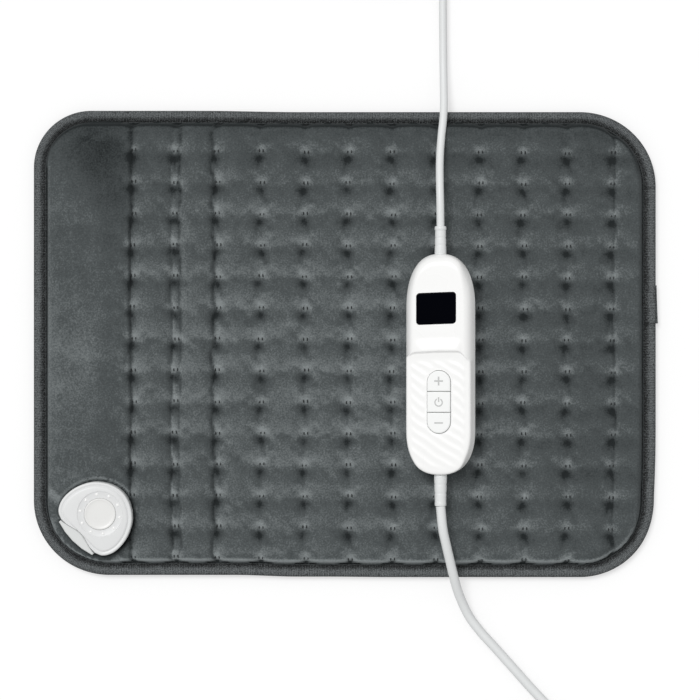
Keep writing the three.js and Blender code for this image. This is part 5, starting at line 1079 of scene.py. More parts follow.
def cloth_moves(step):
    """Lets the plush face settle as cloth over its filling, held at its edge and its tacks."""
    x, y = pad_grid(step)
    points = np.stack([x, y, quilt_height(x, y)[0]], axis=-1).reshape(-1, 3)
    thing = linked("plush_trial", raw_mesh("plush_trial", points, grid_faces(*x.shape)))
    held = (pad_inset(x, y) < GROOVE_INSET + 1).ravel() | (outside_socket(x, y) < 2).ravel()
    for tack_x, tack_y in TACKS:
        held |= (np.hypot(x - tack_x, y - tack_y) < step * 0.75).ravel()
    sewn = thing.vertex_groups.new(name="sewn")
    sewn.add([int(i) for i in np.flatnonzero(held)], 1.0, "REPLACE")
    cloth = thing.modifiers.new("cloth", "CLOTH")
    settings = cloth.settings
    settings.quality = 6
    settings.mass = 0.2
    settings.tension_stiffness = 12
    settings.compression_stiffness = 12
    settings.shear_stiffness = 4
    settings.bending_stiffness = 0.3
    settings.use_pressure = True
    settings.uniform_pressure_force = 0.4
    settings.shrink_min = -0.003
    settings.vertex_group_mass = "sewn"
    settings.effector_weights.gravity = 0
    cloth.collision_settings.use_collision = False
    cloth.point_cache.frame_start = 1
    cloth.point_cache.frame_end = CLOTH_FRAMES
    scene = bpy.context.scene
    for number in range(1, CLOTH_FRAMES + 1):
        scene.frame_set(number)
    moved = applied(thing)
    end = np.empty(len(moved.vertices) * 3)
    moved.vertices.foreach_get("co", end)
    scene.frame_set(1)
    bpy.data.objects.remove(thing)
    moves = (end.reshape(-1, 3) - points * MM) / MM
    size = np.linalg.norm(moves, axis=1, keepdims=True)
    print("cloth moves: mean", size.mean().round(2), "most", size.max().round(2))
    moves *= CLOTH_LIMIT / (CLOTH_LIMIT + size)
    return moves.reshape(*x.shape, 3)


def clear_of_neighbours(points):
    """Keeps the face under the socket's foot, inside the part's height and below the controller."""
    away = outside_socket(points[..., 0], points[..., 1])
    most = np.where(away < 0.8, SOCKET_FOOT, HIGHEST_PLUSH)
    aside = np.abs(points[..., 0] - CONTROLLER_AT[0])
    below_controller = (aside < 26) & (points[..., 1] < 76) & (points[..., 1] > -105)
    most = np.where(below_controller, np.minimum(most, CONTROLLER_FOOT), most)
    points[..., 2] = np.minimum(points[..., 2], most)


def make_pad_top():
    """The plush face, closed by its turned-in edge. Gives the face's points, for the stitches."""
    x, y = pad_grid(PLUSH_STEP)
    z, painted_shading, brushed = quilt_height(x, y)
    points = np.stack([x, y, z], axis=-1)
    moves = cloth_moves(CLOTH_STEP)
    rows = interpolation(x.shape[0], moves.shape[0])
    columns = interpolation(x.shape[1], moves.shape[1])
    points = points + np.einsum("ri,cj,ijk->rck", rows, columns, moves)
    near_edge = smooth((pad_inset(x, y) - GROOVE_INSET - 2) / 6)[..., None]
    points = points * near_edge + np.stack([x, y, z], axis=-1) * (1 - near_edge)
    clear_of_neighbours(points)
    top = points.reshape(-1, 3)
    border = grid_border(*x.shape)
    edge = top[border]
    middle_x = np.clip(edge[:, 0], CORNER - HALF_LENGTH, HALF_LENGTH - CORNER)
    middle_y = np.clip(edge[:, 1], CORNER - HALF_WIDTH, HALF_WIDTH - CORNER)
    inward = np.column_stack([middle_x, middle_y]) - edge[:, :2]
    inward /= np.linalg.norm(inward, axis=1, keepdims=True)
    under_rings = [np.column_stack([edge[:, :2] + inward * run, np.full(len(edge), height)])
                   for run, height in ((0, UNDERSIDE_TOP), (5.8, 4.0), (9.9, 7.1))]
    sides = len(border)
    faces = grid_faces(*x.shape)
    starts = [len(top) + number * sides for number in range(3)]
    for side in range(sides):
        other = (side + 1) % sides
        faces.append((border[side], starts[0] + side, starts[0] + other, border[other]))
        for low, high in zip(starts, starts[1:]):
            faces.append((low + side, high + side, high + other, low + other))
    faces.append(tuple(starts[2] + side for side in range(sides)))
    mesh = raw_mesh("pad_top", warp(np.vstack([top, *under_rings])), faces)
    # The turned-in edge's rings carry full painted shade
    for label, numbers, rest in (("painted_shading", painted_shading, 1), ("brushed", brushed, 0)):
        mark(mesh, label, np.concatenate([numbers.ravel(), np.full(3 * sides, rest)]))
    tidy(mesh, sharp=60)
    thing = new_object("pad_top", mesh, plush)
    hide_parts("top_quilt")
    return points


def height_at(surface, x, y):
    """The plush face's height near a point."""
    rows = len(surface)
    row = round((y + HALF_WIDTH - QUILT_INSET) / (2 * (HALF_WIDTH - QUILT_INSET)) * (rows - 1))
    line = surface[min(max(row, 0), rows - 1)]
    return float(np.interp(x, line[:, 0], line[:, 2]))


pad_surface = make_pad_top()


def make_pad_back():
    """The fleece underside: flat where it lies, drawn in along each column of tacks."""
    x, y = pad_grid(3.2)
    x = x * ((HALF_LENGTH - UNDERSIDE_INSET) / (HALF_LENGTH - QUILT_INSET))
    y = y * ((HALF_WIDTH - UNDERSIDE_INSET) / (HALF_WIDTH - QUILT_INSET))
    dx, _, _ = column_offset(x, y)
    channel = 0.85 * np.exp(-((dx / 2.2) ** 2)) * (x > FIRST_COLUMN - 20)
    rim = 1.7 * (1 - smooth((pad_inset(x, y) - 6.3) / 3.5))
    low = np.maximum(channel, rim)
    high = np.full_like(low, UNDERSIDE_TOP)
    count = x.size
    faces = [face[::-1] for face in grid_faces(*x.shape)]
    faces += [[corner + count for corner in face] for face in grid_faces(*x.shape)]
    border = grid_border(*x.shape)
    for here, there in zip(border, border[1:] + border[:1]):
        faces.append((here, there, there + count, here + count))
    points = np.vstack([np.column_stack([x.ravel(), y.ravel(), z.ravel()]) for z in (low, high)])
    mesh = mesh_of("pad_back", points, faces, sharp=60)
    thing = new_object("pad_back", mesh, fleece)
    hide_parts("back_quilt")


make_pad_back()


def make_felt():
    outline = pad_outline(FELT_INSET, 12)
    mesh = stack("felt_layer", outline, [(-0.2, 4.2), (0, 4.35), (0, 4.75), (-0.2, 4.9)])
    thing = new_object("felt_layer", mesh, felt)
    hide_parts("element_felt")


make_felt()


def lengths_along(outline):
    """How far round the outline each point lies, stretched to a whole number of ribs."""
    steps = np.linalg.norm(np.roll(outline, -1, axis=0) - outline, axis=1)
    along = np.concatenate([[0], np.cumsum(steps)[:-1]])
    whole = round(steps.sum() / RIB_PITCH) * RIB_PITCH
    return along * (whole / steps.sum())


# Lines of the bound edge: inset, height and painted shade
BINDING_PROFILE = [
    (0.9, 0.12, 0.45), (0.25, 0.7, 0.4), (0.02, 1.7, 0.34), (0, 3.3, 0.3), (0.12, 4.7, 0.3),
    (0.5, 5.8, 0.28), (1.1, 6.5, 0.2), (2.0, 6.9, 0.08), (3.4, 7.0, 0), (4.4, 6.82, 0.02),
    (5.0, 6.4, 0.16), (5.6, 5.9, 0.4), (6.2, 5.5, 0.58), (6.8, 5.2, 0.72), (7.4, 5.02, 0.82),
    (8.0, 4.92, 0.88), (8.5, 4.86, 0.95), (8.4, 4.74, 1), (6, 4.76, 1), (4, 4.9, 1), (1.9, 4.9, 1),
    (1.8, 3.6, 1), (1.8, 1.6, 1), (4, 1.5, 1), (5.9, 1.5, 1), (6, 1.2, 0.8), (5.7, 0.5, 0.5),
    (4.6, 0.08, 0.4), (2.6, 0.02, 0.4),
]


def make_binding():
    """The bound edge: a soft roll over both quilts, ribbed across, sloping in to the seam.

    Its profile gives insets, heights and how much painted shade each line of it carries.
    """
    outline = pad_outline(0, 1.6)
    tangent = np.roll(outline, -1, axis=0) - np.roll(outline, 1, axis=0)
    tangent /= np.linalg.norm(tangent, axis=1, keepdims=True)
    inward = np.column_stack([-tangent[:, 1], tangent[:, 0]])
    place = np.arange(len(outline)) / len(outline) * 2 * math.pi
    uneven = 0.16 * np.sin(31 * place) + 0.12 * np.sin(53 * place + 1) + 0.1 * np.sin(89 * place + 2)
    right_side, y = outline[:, 0] > 190, outline[:, 1]
    ply = right_side * smooth((y - 12.6) / 0.8) * np.clip((37 - y) / 24, 0, 1)
    end = right_side * np.exp(-(((y - 12.2) / 1.1) ** 2))
    rings, shaded_rings = [], []
    for inset, z, depth in BINDING_PROFILE:
        own = uneven * smooth((inset - 3) / 2) * (1 if z > 4.75 else 0.4)
        sag = np.abs(0.08 * np.sin(47 * place + inset) * (1 if z > 6 else 0))
        over = 0.45 * ply * (1 if z > 5 else 0)
        rings.append(np.column_stack([outline + inward * (inset + own - over)[:, None], z - sag + over]))
        # Painted shade from the profile, and more where the binding's turned-under end lies
        shaded_rings.append(np.full(len(outline), depth) + 0.5 * end)
    faces = loft_faces(len(rings), len(outline), around=True)
    mesh = raw_mesh("binding_roll", warp(np.concatenate(rings)), faces)
    mark(mesh, "along", np.tile(lengths_along(outline), len(rings)))
    mark(mesh, "painted_shading", np.concatenate(shaded_rings))
    tidy(mesh, sharp=50)
    thing = new_object("binding_roll", mesh, binding_tape)
    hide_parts("edge_binding")


make_binding()


def make_binding_lap():
    """The turned-under end of the binding, a thin flap along the right edge."""
    rings = []
    for y in np.linspace(LAP_LOW, LAP_HIGH, 30):
        thick = 0.04 + 0.95 * (LAP_HIGH - y) / (LAP_HIGH - LAP_LOW)
        rings.append([(LAP_FROM + out * thick, y, z) for out, z in
                      ((0, 1.3), (0.7, 1.35), (1, 2.2), (1, 4.8), (0.7, 5.65), (0, 5.7))])
    points = np.concatenate([np.array(ring) for ring in rings])
    mesh = raw_mesh("binding_lap", points, loft_faces(len(rings), len(rings[0])))
    mark(mesh, "along", points[:, 1])
    tidy(mesh)
    thing = new_object("binding_lap", mesh, binding_tape)
    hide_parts("binding_tail")


make_binding_lap()


STITCH_PROFILE = [(-0.5, 0.35, -0.5), (-0.38, 0.9, 0), (0, 1, 0.25), (0.38, 0.9, 0), (0.5, 0.35, -0.5)]
STITCH_SIDES = 6


def stitches(name, places, length, thick, material):
    """Many short stitches as one piece: each a small pointed rod with its middle raised."""
    points, faces = [], []
    for middle, way in places:
        way = Vector(way).normalized()
        across = way.cross(Vector((0, 0, 1))).normalized()
        up = across.cross(way)
        base = len(points)
        for share, radius, lift in STITCH_PROFILE:
            centre = Vector(middle) + way * share * length + up * lift * thick / 2
            for side in range(STITCH_SIDES):
                angle = 2 * math.pi * side / STITCH_SIDES
                out = across * math.cos(angle) + up * math.sin(angle)
                points.append(centre + out * radius * thick / 2)
        rod = loft_faces(len(STITCH_PROFILE), STITCH_SIDES)
        faces += [tuple(base + corner for corner in face) for face in rod]
    mesh = mesh_of(name, [tuple(p) for p in points], faces)
    return new_object(name, mesh, material)


def make_seam():
    """The line of thread beside the binding."""
    outline = pad_outline(SEAM_INSET, 3.4)
    places = []
    for here, there in zip(outline, np.roll(outline, -1, axis=0)):
        middle = warp([[*((here + there) / 2), GROOVE_TOP + 0.36]])[0]
        places.append((middle, (*(there - here), 0)))
    stitches("binding_seam", places, 3.3, 0.62, seam_thread)


make_seam()


def make_tacks():
    """Two short threads side by side, sunk in each tuft."""
    places = []
    for x, y in TACKS:
        for side in (-1, 1):
            spot = x + side * STITCH_GAP
            middle = warp([[spot, y, height_at(pad_surface, spot, y) + 0.12]])[0]
            places.append((middle, (0, 1, 0)))
    stitches("quilt_tacks", places, 2.1, 0.75, tack_thread)


make_tacks()


# Controller

controller = (
    Matrix.Translation(Vector(CONTROLLER_AT) * MM) @ Matrix.Rotation(math.radians(CONTROLLER_ROLL), 4, "Y"))


def housing_ring(inset):
    """Points round the housing at one inset, closing to a line along its middle."""
    half = HALF_GRIP - inset
    closing = min(1, half / 4)
    top = (TOP_END - END_ROLL * min(inset, 18)) * closing
    low = (BOTTOM_END - END_ROLL * min(inset, 18)) * closing
    angles = np.linspace(0, math.pi, 73)
    cosine = np.sign(np.cos(angles)) * np.abs(np.cos(angles)) ** (2 / END_POWER)
    sine = np.abs(np.sin(angles)) ** (2 / END_POWER)
    sine[0] = sine[-1] = 0
    side = np.concatenate([
        np.linspace(BOTTOM_START, 3.6, 58)[1:], np.linspace(3.6, 9.6, 36)[1:],
        np.linspace(9.6, TOP_START, 30)[1:-1],
    ])
    return np.vstack([
        np.column_stack([np.full(len(side), half), side]),
        np.column_stack([half * cosine, TOP_START + top * sine]),
        np.column_stack([np.full(len(side), -half), side[::-1]]),
        np.column_stack([-half * cosine, BOTTOM_START - low * sine]),
    ])


def from_key_strip(x, y):
    """Distance from the outline of the three keys together."""
    nearest = np.clip(y, STRIP_BOTTOM + STRIP_RADIUS, STRIP_TOP - STRIP_RADIUS)
    return np.hypot(x, y - nearest) - STRIP_RADIUS


def below_ledge(x, y):
    """How far a point of the face lies below the ledge that crosses it."""
    left = 1.2 * (np.maximum(-15.5 - x, 0) / 4.4) ** 2
    right = np.minimum(4.8 * (np.maximum(x - 11.5, 0) / 9) ** 1.7, 5.8)
    return LEDGE_Y + 0.05 * np.minimum(x, 0) - left - right - y


def face_height(x, y):
    """The housing's face: a low brow above the ledge, scooped below it and ribbed on the slant."""
    ledge = below_ledge(x, y)
    lateral = smooth((18 - np.abs(x)) / 8)
    brow = BROW * lateral * smooth((ledge + 9) / 8)
    drop = RECESS + BROW * lateral
    wall = 0.8 * drop * smooth((ledge + 0.4) / 1.6)
    fillet = 0.2 * drop * (1 - (1 - np.clip((ledge - 0.5) / 6, 0, 1)) ** 2)
    slope = math.radians(GRIP_RIB_SLANT)
    across = x * math.sin(slope) + y * math.cos(slope)
    along = x * math.cos(slope) - y * math.sin(slope)
    wave = across + 0.35 * np.sin(along / 3.8)
    rib = (0.5 + 0.5 * np.cos(2 * math.pi * wave / GRIP_RIB_PITCH)) ** 1.2
    room = smooth((HALF_GRIP - 2.6 - np.abs(x)) / 2) * smooth((y + 67) / 3)
    room *= smooth((ledge - 5) / 4) * smooth((from_key_strip(x, y) - 0.9) / 1.2)
    return FACE + brow - wall - fillet + GRIP_RIB_HEIGHT * rib * room


def quarter(power, steps):
    """Shares inwards and upwards of a rounded edge."""
    angles = np.linspace(0, math.pi / 2, steps + 1)
    shares = [(1 - math.cos(a) ** (2 / power), math.sin(a) ** (2 / power)) for a in angles[:-1]]
    return [*shares, (1.0, 1.0)]


def drafted(ring):
    """Leans the front shell's sides inwards, the right one more."""
    x, z = ring[:, 0], ring[:, 2]
    most = np.where(x > 0, DRAFT_RIGHT, DRAFT_LEFT)
    ring[:, 0] = x - np.sign(x) * most * smooth((np.abs(x) - 12) / 8) * z / FACE
    return ring


def half_housing(name, power, run, height, wall, back):
    """One shell: its inner faces from the middle out, then its outer ones back to the middle."""
    rings = []
    for inset in np.linspace(HALF_GRIP - MIDDLE_LINE, WALL + run + 0.4, 8):
        rings.append(flat_ring(housing_ring(inset), height - wall))
    for share, rise in reversed(quarter(power, 8)):
        inner = housing_ring(WALL + share * run)
        rings.append(flat_ring(inner, SHELL_PARTING + rise * (height - wall - SHELL_PARTING)))
    outer_run = run if back else FACE_RUN
    step = 2.5 if back else 0.5
    insets = [outer_run * (1 - math.cos(angle)) for angle in np.linspace(0, math.pi / 2, 21)]
    farther = np.arange(outer_run + step, HALF_GRIP + step, step)
    insets += [min(inset, HALF_GRIP - MIDDLE_LINE) for inset in farther]
    for inset in insets:
        outline = housing_ring(inset)
        x, y = outline.T
        crisp = power if back else 2 + 0.9 * smooth(x / 12) + 6 * smooth((below_ledge(x, y) + 0.5) / 2)
        rise = (1 - (1 - min(inset / outer_run, 1)) ** crisp) ** (1 / crisp)
        top = height if back else face_height(x, y)
        heights = SHELL_PARTING + rise * (top - SHELL_PARTING)
        rings.append(np.column_stack([outline, heights + np.zeros(len(outline))]))
    if not back:
        rings = [drafted(ring) for ring in rings]
    return loft(name, rings, caps=False, weld=0.008)


def cylinder(radius, low, high, x=0, y=0, sides=32):
    return turned("tool", [(radius, low), (radius, high)], sides, Matrix.Translation((x * MM, y * MM, 0)))


def along_y(mesh):
    mesh.transform(Matrix.Rotation(-math.pi / 2, 4, "X"))
    return mesh


def strip_outline(margin):
    radius = STRIP_RADIUS + margin
    return np.vstack([
        arc(0, STRIP_TOP - STRIP_RADIUS, radius, 0, 180, 32),
        arc(0, STRIP_BOTTOM + STRIP_RADIUS, radius, 180, 360, 32),
    ])


def display_outline(margin=0.0):
    outline = rounded_rectangle(
        DISPLAY_HALF_X + margin, DISPLAY_HALF_Y + margin, DISPLAY_CORNER + margin, DISPLAY_X, DISPLAY_Y)
    outline[:, 1] += DISPLAY_RISE * (outline[:, 0] - DISPLAY_X)
    return outline


def relief_bore():
    return along_y(cylinder(RELIEF_BORE, -RELIEF_END - 2, RELIEF_END + 2))


SCREWS = [(-SCREW_X, SCREW_Y), (SCREW_X, SCREW_Y), (-SCREW_X, -SCREW_Y), (SCREW_X, -SCREW_Y)]


def make_housing():
    front = half_housing("front", FRONT_POWER, FACE_INSET, FACE, FACE_WALL, back=False)
    key_hole = stack("tool", strip_outline(HOLE_CLEARANCE), [(0, 4), (0, 12)])
    display_hole = stack("tool", display_outline(HOLE_CLEARANCE), [(0, 4), (0, 12)])
    front = carved(front, key_hole, display_hole, relief_bore())
    tidy(front, sharp=40)
    front.transform(controller)
    thing = new_object("housing_front", front, housing_white)
    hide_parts("controller_front_shell")
    back = half_housing("back", BACK_POWER, BACK_INSET, BACK, WALL, back=True)
    wells = [cylinder(SCREW_WELL, BACK - WELL_DEPTH, BACK + 1, x, y) for x, y in SCREWS]
    bores = [cylinder(SCREW_BORE, 4, BACK + 1, x, y, 20) for x, y in SCREWS]
    back = carved(back, relief_bore(), *wells, *bores)
    back.transform(Matrix.Rotation(math.pi, 4, "Y"))
    tidy(back, sharp=40)
    back.transform(controller)
    thing = new_object("housing_back", back, housing_white)
    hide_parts("controller_rear_shell")


make_housing()


def make_display():
    mesh = stack("display_glass", display_outline(), [
        (1.6, 5.5), (1.6, 6.3), (0, 6.3), (0, 8.62), (-0.12, 8.8), (-0.3, 8.9), (-0.5, 8.9)],
                 place=controller)
    thing = new_object("display_glass", mesh, display_black)
    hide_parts("display_window")


make_display()


def key_outline(order):
    third = (STRIP_TOP - STRIP_BOTTOM) / 3
    high, low = STRIP_TOP - order * third - HALF_KEY_GAP, STRIP_TOP - (order + 1) * third + HALF_KEY_GAP
    if order == 0:
        cap = arc(0, STRIP_TOP - STRIP_RADIUS, STRIP_RADIUS, 0, 180, 28)
        return np.vstack([[(STRIP_RADIUS, low)], cap, [(-STRIP_RADIUS, low)]])
    if order == 2:
        cap = arc(0, STRIP_BOTTOM + STRIP_RADIUS, STRIP_RADIUS, 180, 360, 28)
        return np.vstack([[(-STRIP_RADIUS, high)], cap, [(STRIP_RADIUS, high)]])
    return np.array([
        (STRIP_RADIUS, low), (STRIP_RADIUS, high), (-STRIP_RADIUS, high), (-STRIP_RADIUS, low),
    ])


def plate(name, outline, low, high):
    """A flat printed mark."""
    return loft(name, [flat_ring(outline, low), flat_ring(outline, high)], place=controller)


KEY_ROLL = [(0, 0.6), (-0.14, 0.3), (-0.4, 0.1), (-0.8, 0), (-1, 0)]


def make_keys():
    for order, use in enumerate(("plus", "power", "minus")):
        outline = key_outline(order)
        middle = STRIP_TOP - (order + 0.5) * (STRIP_TOP - STRIP_BOTTOM) / 3
        stem = np.array((0, middle)) + (outline - (0, middle)) * 0.2
        rings = [flat_ring(stem, 4.0), flat_ring(stem, KEY_LOW), flat_ring(outline, KEY_LOW)]
        rings += [flat_ring(offset(outline, margin), KEY_TOP - below) for margin, below in KEY_ROLL]
        mesh = loft(f"key_cap_{use}", rings, place=controller, sharp=50)
        cap = new_object(f"key_cap_{use}", mesh, key_white, body=f"key_{use}")
        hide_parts(f"key_{use}")
        low, high = KEY_TOP - 0.05, KEY_TOP + 0.04
        marks = []
        if use == "plus":
            long, thin = 2.8, 0.52
            cross = np.array([
                (long, -thin), (long, thin), (thin, thin), (thin, long), (-thin, long), (-thin, thin),
                (-long, thin), (-long, -thin), (-thin, -thin), (-thin, -long), (thin, -long), (thin, -thin),
            ])
            marks.append(plate("mark", cross + (0, middle), low, high))
        elif use == "minus":
            marks.append(plate("mark", rounded_rectangle(2.8, 0.48, 0.2, 0, middle), low, high))
        else:
            outer = arc(0, middle - 0.3, 2.75, -242, 62, 40)
            inner = arc(0, middle - 0.3, 1.9, 62, -242, 40)
            marks.append(plate("mark", np.vstack([outer, inner]), low, high))
            marks.append(plate("mark", rounded_rectangle(0.44, 1.55, 0.2, 0, middle + 1.5), low, high))
        for number, printed in enumerate(marks):
            new_object(f"key_mark_{use}_{number + 1}", printed, key_mark, body=f"key_{use}")


make_keys()


def make_relief(name, length, growth, side, node):
    """A strain relief: flange and neck in the housing, a tapered sleeve with two rings of nicks."""
    end, neck = RELIEF_END, RELIEF_NECK
    tip = end + length
    profile = [(2.4, 59.1), (2.4, 61.6), (5.2, 61.6), (5.2, 63.6), (neck, 63.6), (neck, end),
               (neck + growth, end + 0.4), (neck + 0.02 + growth, end + 1.5), (neck + growth, end + 2.6)]
    steps = 26
    for i in range(1, steps):
        share = i / steps
        y = end + 2.6 + (length - 5.2) * share
        radius = 3.68 + growth - (0.3 + growth / 2) * share
        for groove in (0.24, 0.62):
            radius -= 0.22 * math.exp(-((share - groove) / 0.035) ** 2)
        profile.append((radius, y))
    profile += [(3.4 + growth / 2, tip - 2.6), (3.66, tip - 2.35), (3.72, tip - 1.4), (3.66, tip - 0.5),
                (3.45, tip - 0.1), (2.9, tip)]
    mesh = along_y(turned(name, profile, 40, sharp=50))
    if side < 0:
        mesh.transform(Matrix.Rotation(math.pi, 4, "Z"))
    mesh.transform(controller)
    thing = new_object(name, mesh, cord_white)
    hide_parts(node)


make_relief("mains_sleeve", 17.5, 0, 1, "mains_strain_relief")
make_relief("lead_sleeve", 20, 0.4, -1, "lead_strain_relief")


# Socket

socket = Matrix.Translation(Vector(SOCKET_AT) * MM) @ Matrix.Rotation(math.radians(SOCKET_TURN), 4, "Z")


def parting_line():
    """The line on the socket's top where its cover ends and its mouth begins."""
    right = np.array([(x + PARTING_GAP, y * SOCKET_LIP_HALF) for x, y in PARTING_POINTS])
    left = right[-2::-1] * (1, -1)
    return curve_through(np.vstack([right, left]), 6)


def prism(outline, low, high):
    return loft("tool", [flat_ring(outline, low), flat_ring(outline, high)])


COVER_LEVELS = [
    (0, 1.7), (0.1, 1.15), (0.35, 0.75), (0.75, 0.52), (1.2, 0.5), (1.7, 0.62), (2.1, 0.8), (2.3, 0.86),
    (2.5, 0.76), (2.8, 0.42), (3.2, 0.16), (3.6, 0.04), (4, 0),
]


def make_cover():
    """The domed cover with its rim bead. Its levels give insets and depths below the top."""
    high = SOCKET_TOP
    levels = [(0, COVER_LOW), *((inset, high - depth) for inset, depth in COVER_LEVELS)]
    dome = loft("cover", [flat_ring(socket_side(SOCKET_TRIM + inset), z)[::-1] for inset, z in levels])
    whole = np.vstack([socket_side(1.6 + SOCKET_TRIM)[::-1], lip_arc(13.6, 12)])
    ahead = np.vstack([parting_line(), [(26, -SOCKET_LIP_HALF), (26, SOCKET_LIP_HALF)]])
    tools = [
        prism(whole, COVER_LOW - 1, high - 2.3),
        prism([(13.7, -15.5), (26, -15.5), (26, 15.5), (13.7, 15.5)], COVER_LOW - 1, high - 2.3),
        prism(ahead, COVER_LOW - 1, high + 1),
        cylinder(10.2, high - 4, high + 1, sides=72),
        turned("tool", [(13.7, high - 0.6), (14.1, high - 0.48), (14.5, high - 0.2), (14.8, high + 1)], 96),
    ]
    mesh = carved(dome, *tools)
    tidy(mesh, sharp=40)
    mesh.transform(socket)
    thing = new_object("socket_dome", mesh, socket_grey)
    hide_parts("socket_cover")


make_cover()


PIP_PROFILE = [(0.95, -0.75), (0.92, -0.52), (0.8, -0.26), (0.52, -0.1), (0.2, -0.04)]
PIP_SIDES = 16


def make_pips():
    """The ten small bumps round the release button, in the paler housing white: a painted highlight that
    makes them show as bright dots.
    """
    points, faces = [], []
    for number in range(PIPS):
        angle = 2 * math.pi * (number + 0.5) / PIPS
        x, y = PIP_CIRCLE * math.cos(angle), PIP_CIRCLE * math.sin(angle)
        base = len(points)
        for radius, z in PIP_PROFILE:
            circle = arc(x, y, radius, 0, 360 - 360 / PIP_SIDES, PIP_SIDES - 1)
            points.extend((px, py, SOCKET_TOP + z) for px, py in circle)
        bump = loft_faces(len(PIP_PROFILE), PIP_SIDES)
        faces += [tuple(base + corner for corner in face) for face in bump]
    mesh = mesh_of("socket_pips", points, faces, place=socket)
    new_object("socket_pips", mesh, housing_white)


make_pips()


def make_button():
    high = SOCKET_TOP
    mesh = turned("release_disc", [
        (4, 13.6), (4, 19.6), (11.1, 19.6), (11.1, 20.5), (10.08, 20.5), (10.08, high - 0.7),
        (9.98, high - 0.32), (9.75, high - 0.08), (9.45, high), (9.1, high - 0.03), (8.8, high - 0.16),
        (8.4, high - 0.3), (7.6, high - 0.38), (5.5, high - 0.42), (3, high - 0.43), (1, high - 0.43),
    ], 96, socket)
    thing = new_object("release_disc", mesh, button_grey, body="release")
    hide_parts("release_button")


make_button()


def make_release_spring():
    """The wound spring under the disc, a coil between the ends of its solid."""
    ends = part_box("release_spring")
    low, high = ends[0][2] / MM + SPRING_WIRE / 2, ends[1][2] / MM - SPRING_WIRE / 2
    steps = SPRING_STEPS * SPRING_CURLS
    local = []
    for step in range(steps + 1):
        angle = math.tau * step / SPRING_STEPS
        rise = low + (high - low) * step / steps
        local.append((SPRING_RADIUS * math.cos(angle), SPRING_RADIUS * math.sin(angle), rise))
    path = [socket @ Vector(spot) for spot in (np.array(local) * MM)]
    mesh = tube("spring_coil", np.array(path) / MM, SPRING_WIRE / 2, 8)
    thing = new_object("spring_coil", mesh, steel, body=None)
    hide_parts("release_spring")
    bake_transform(thing)


make_release_spring()


# Finishes of the solids that stay

def numbered(stem, count):
    return [f"{stem}_{number}" for number in range(1, count + 1)]


KEPT = [
    (wire_cover, ["heating_wire"]),
    (dark_plastic, ["thermal_cutout", *numbered("plug_sleeve", 2)]),
    (black_body, ["display_module", "switch_plus", "switch_power", "switch_minus", "triac"]),
    (board_green, ["circuit_board"]),
    (red_resin, ["film_capacitor"]),
    (steel, ["board_fuse", *numbered("shell_screw", 4), *numbered("socket_screw", 3)]),
    (terminal_green, ["mains_terminal", "lead_terminal"]),
    (socket_grey, ["socket_base", "release_latch", "lead_plug_upper", "lead_plug_lower"]),
    (mouth_grey, ["socket_mouth", "contact_carrier", "backing_plate", "lead_plug_tongue"]),
    (brass, [*numbered("contact_blade", 3), *numbered("plug_pin", 2)]),
    (tie_tape, ["mains_cord_tie", "lead_cord_tie"]),
    (cord_white, ["mains_plug", "lead_plug_boot"]),
]
for finish, kept_nodes in KEPT:
    for node_name in kept_nodes:
        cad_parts[node_name].data.materials.clear()
        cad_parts[node_name].data.materials.append(finish)


# Light, background and floor

def seen_plainly(nodes, links):
    """One where a camera sees the thing, straight on, in a mirror or through glass."""
    rays = nodes.new("ShaderNodeLightPath")
    indirectly = maths(
        nodes, links, "MAXIMUM", rays.outputs["Is Glossy Ray"], rays.outputs["Is Transmission Ray"])
    return maths(nodes, links, "MAXIMUM", rays.outputs["Is Camera Ray"], indirectly)


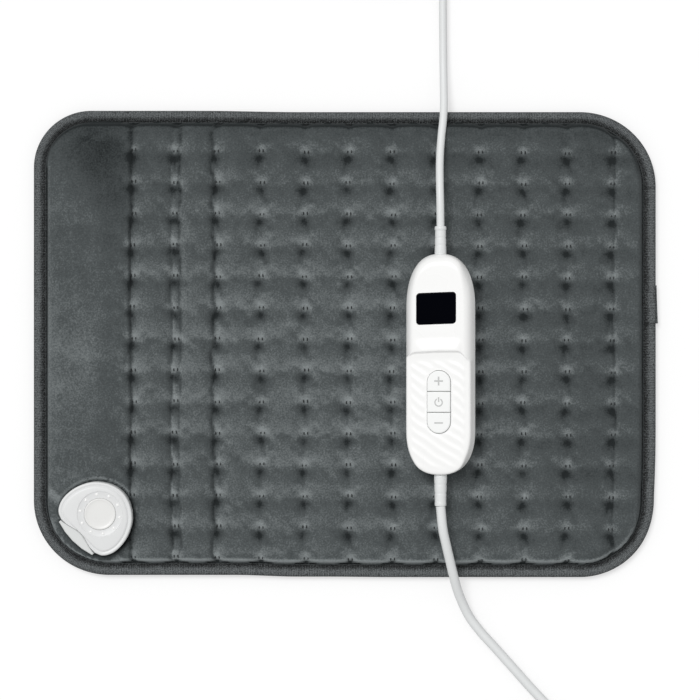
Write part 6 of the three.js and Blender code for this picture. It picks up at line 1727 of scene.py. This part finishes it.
def make_light():
    world = bpy.data.worlds.new("studio")
    bpy.context.scene.world = world
    world.use_nodes = True
    nodes, links = world.node_tree.nodes, world.node_tree.links
    shown = nodes["Background"]
    shown.inputs["Color"].default_value = (1, 1, 1, 1)
    shown.inputs["Strength"].default_value = 1
    soft = nodes.new("ShaderNodeBackground")
    soft.inputs["Color"].default_value = (1, 1, 1, 1)
    soft.inputs["Strength"].default_value = SOFT_LIGHT
    seen = seen_plainly(nodes, links)
    mix = nodes.new("ShaderNodeMixShader")
    links.new(seen, mix.inputs["Fac"])
    links.new(soft.outputs["Background"], mix.inputs[1])
    links.new(shown.outputs["Background"], mix.inputs[2])
    links.new(mix.outputs["Shader"], nodes["World Output"].inputs["Surface"])

    sun_data = bpy.data.lights.new("key", "SUN")
    sun_data.angle = math.radians(SUN_ANGLE)
    sun_data.energy = SUN_STRENGTH
    sun = linked("key", sun_data)
    azimuth, elevation = math.radians(SUN_AZIMUTH), math.radians(SUN_ELEVATION)
    level = math.cos(elevation)
    towards = Vector((math.cos(azimuth) * level, math.sin(azimuth) * level, math.sin(elevation)))
    sun.rotation_euler = towards.to_track_quat("Z", "Y").to_euler()


def make_floor():
    material = bpy.data.materials.new("studio floor")
    material.use_nodes = True
    nodes, links = material.node_tree.nodes, material.node_tree.links
    nodes.clear()
    matte = nodes.new("ShaderNodeBsdfDiffuse")
    matte.inputs["Color"].default_value = (FLOOR_GREY, FLOOR_GREY, FLOOR_GREY, 1)
    lift = nodes.new("ShaderNodeEmission")
    lift.inputs["Color"].default_value = (1, 1, 1, 1)
    seen = seen_plainly(nodes, links)
    links.new(maths(nodes, links, "MULTIPLY", seen, FLOOR_LIFT), lift.inputs["Strength"])
    both = nodes.new("ShaderNodeAddShader")
    links.new(matte.outputs["BSDF"], both.inputs[0])
    links.new(lift.outputs["Emission"], both.inputs[1])
    out = nodes.new("ShaderNodeOutputMaterial")
    links.new(both.outputs["Shader"], out.inputs["Surface"])
    corners = [(-1, -1, 0), (1, -1, 0), (1, 1, 0), (-1, 1, 0)]
    mesh = raw_mesh("floor", np.array(corners) * FLOOR_HALF, [(0, 1, 2, 3)])
    mesh.materials.append(material)
    floor = linked("floor", mesh)
    floor.location = (0, 0, -0.0005)


make_light()
make_floor()
bpy.context.scene.view_settings.view_transform = "Standard"
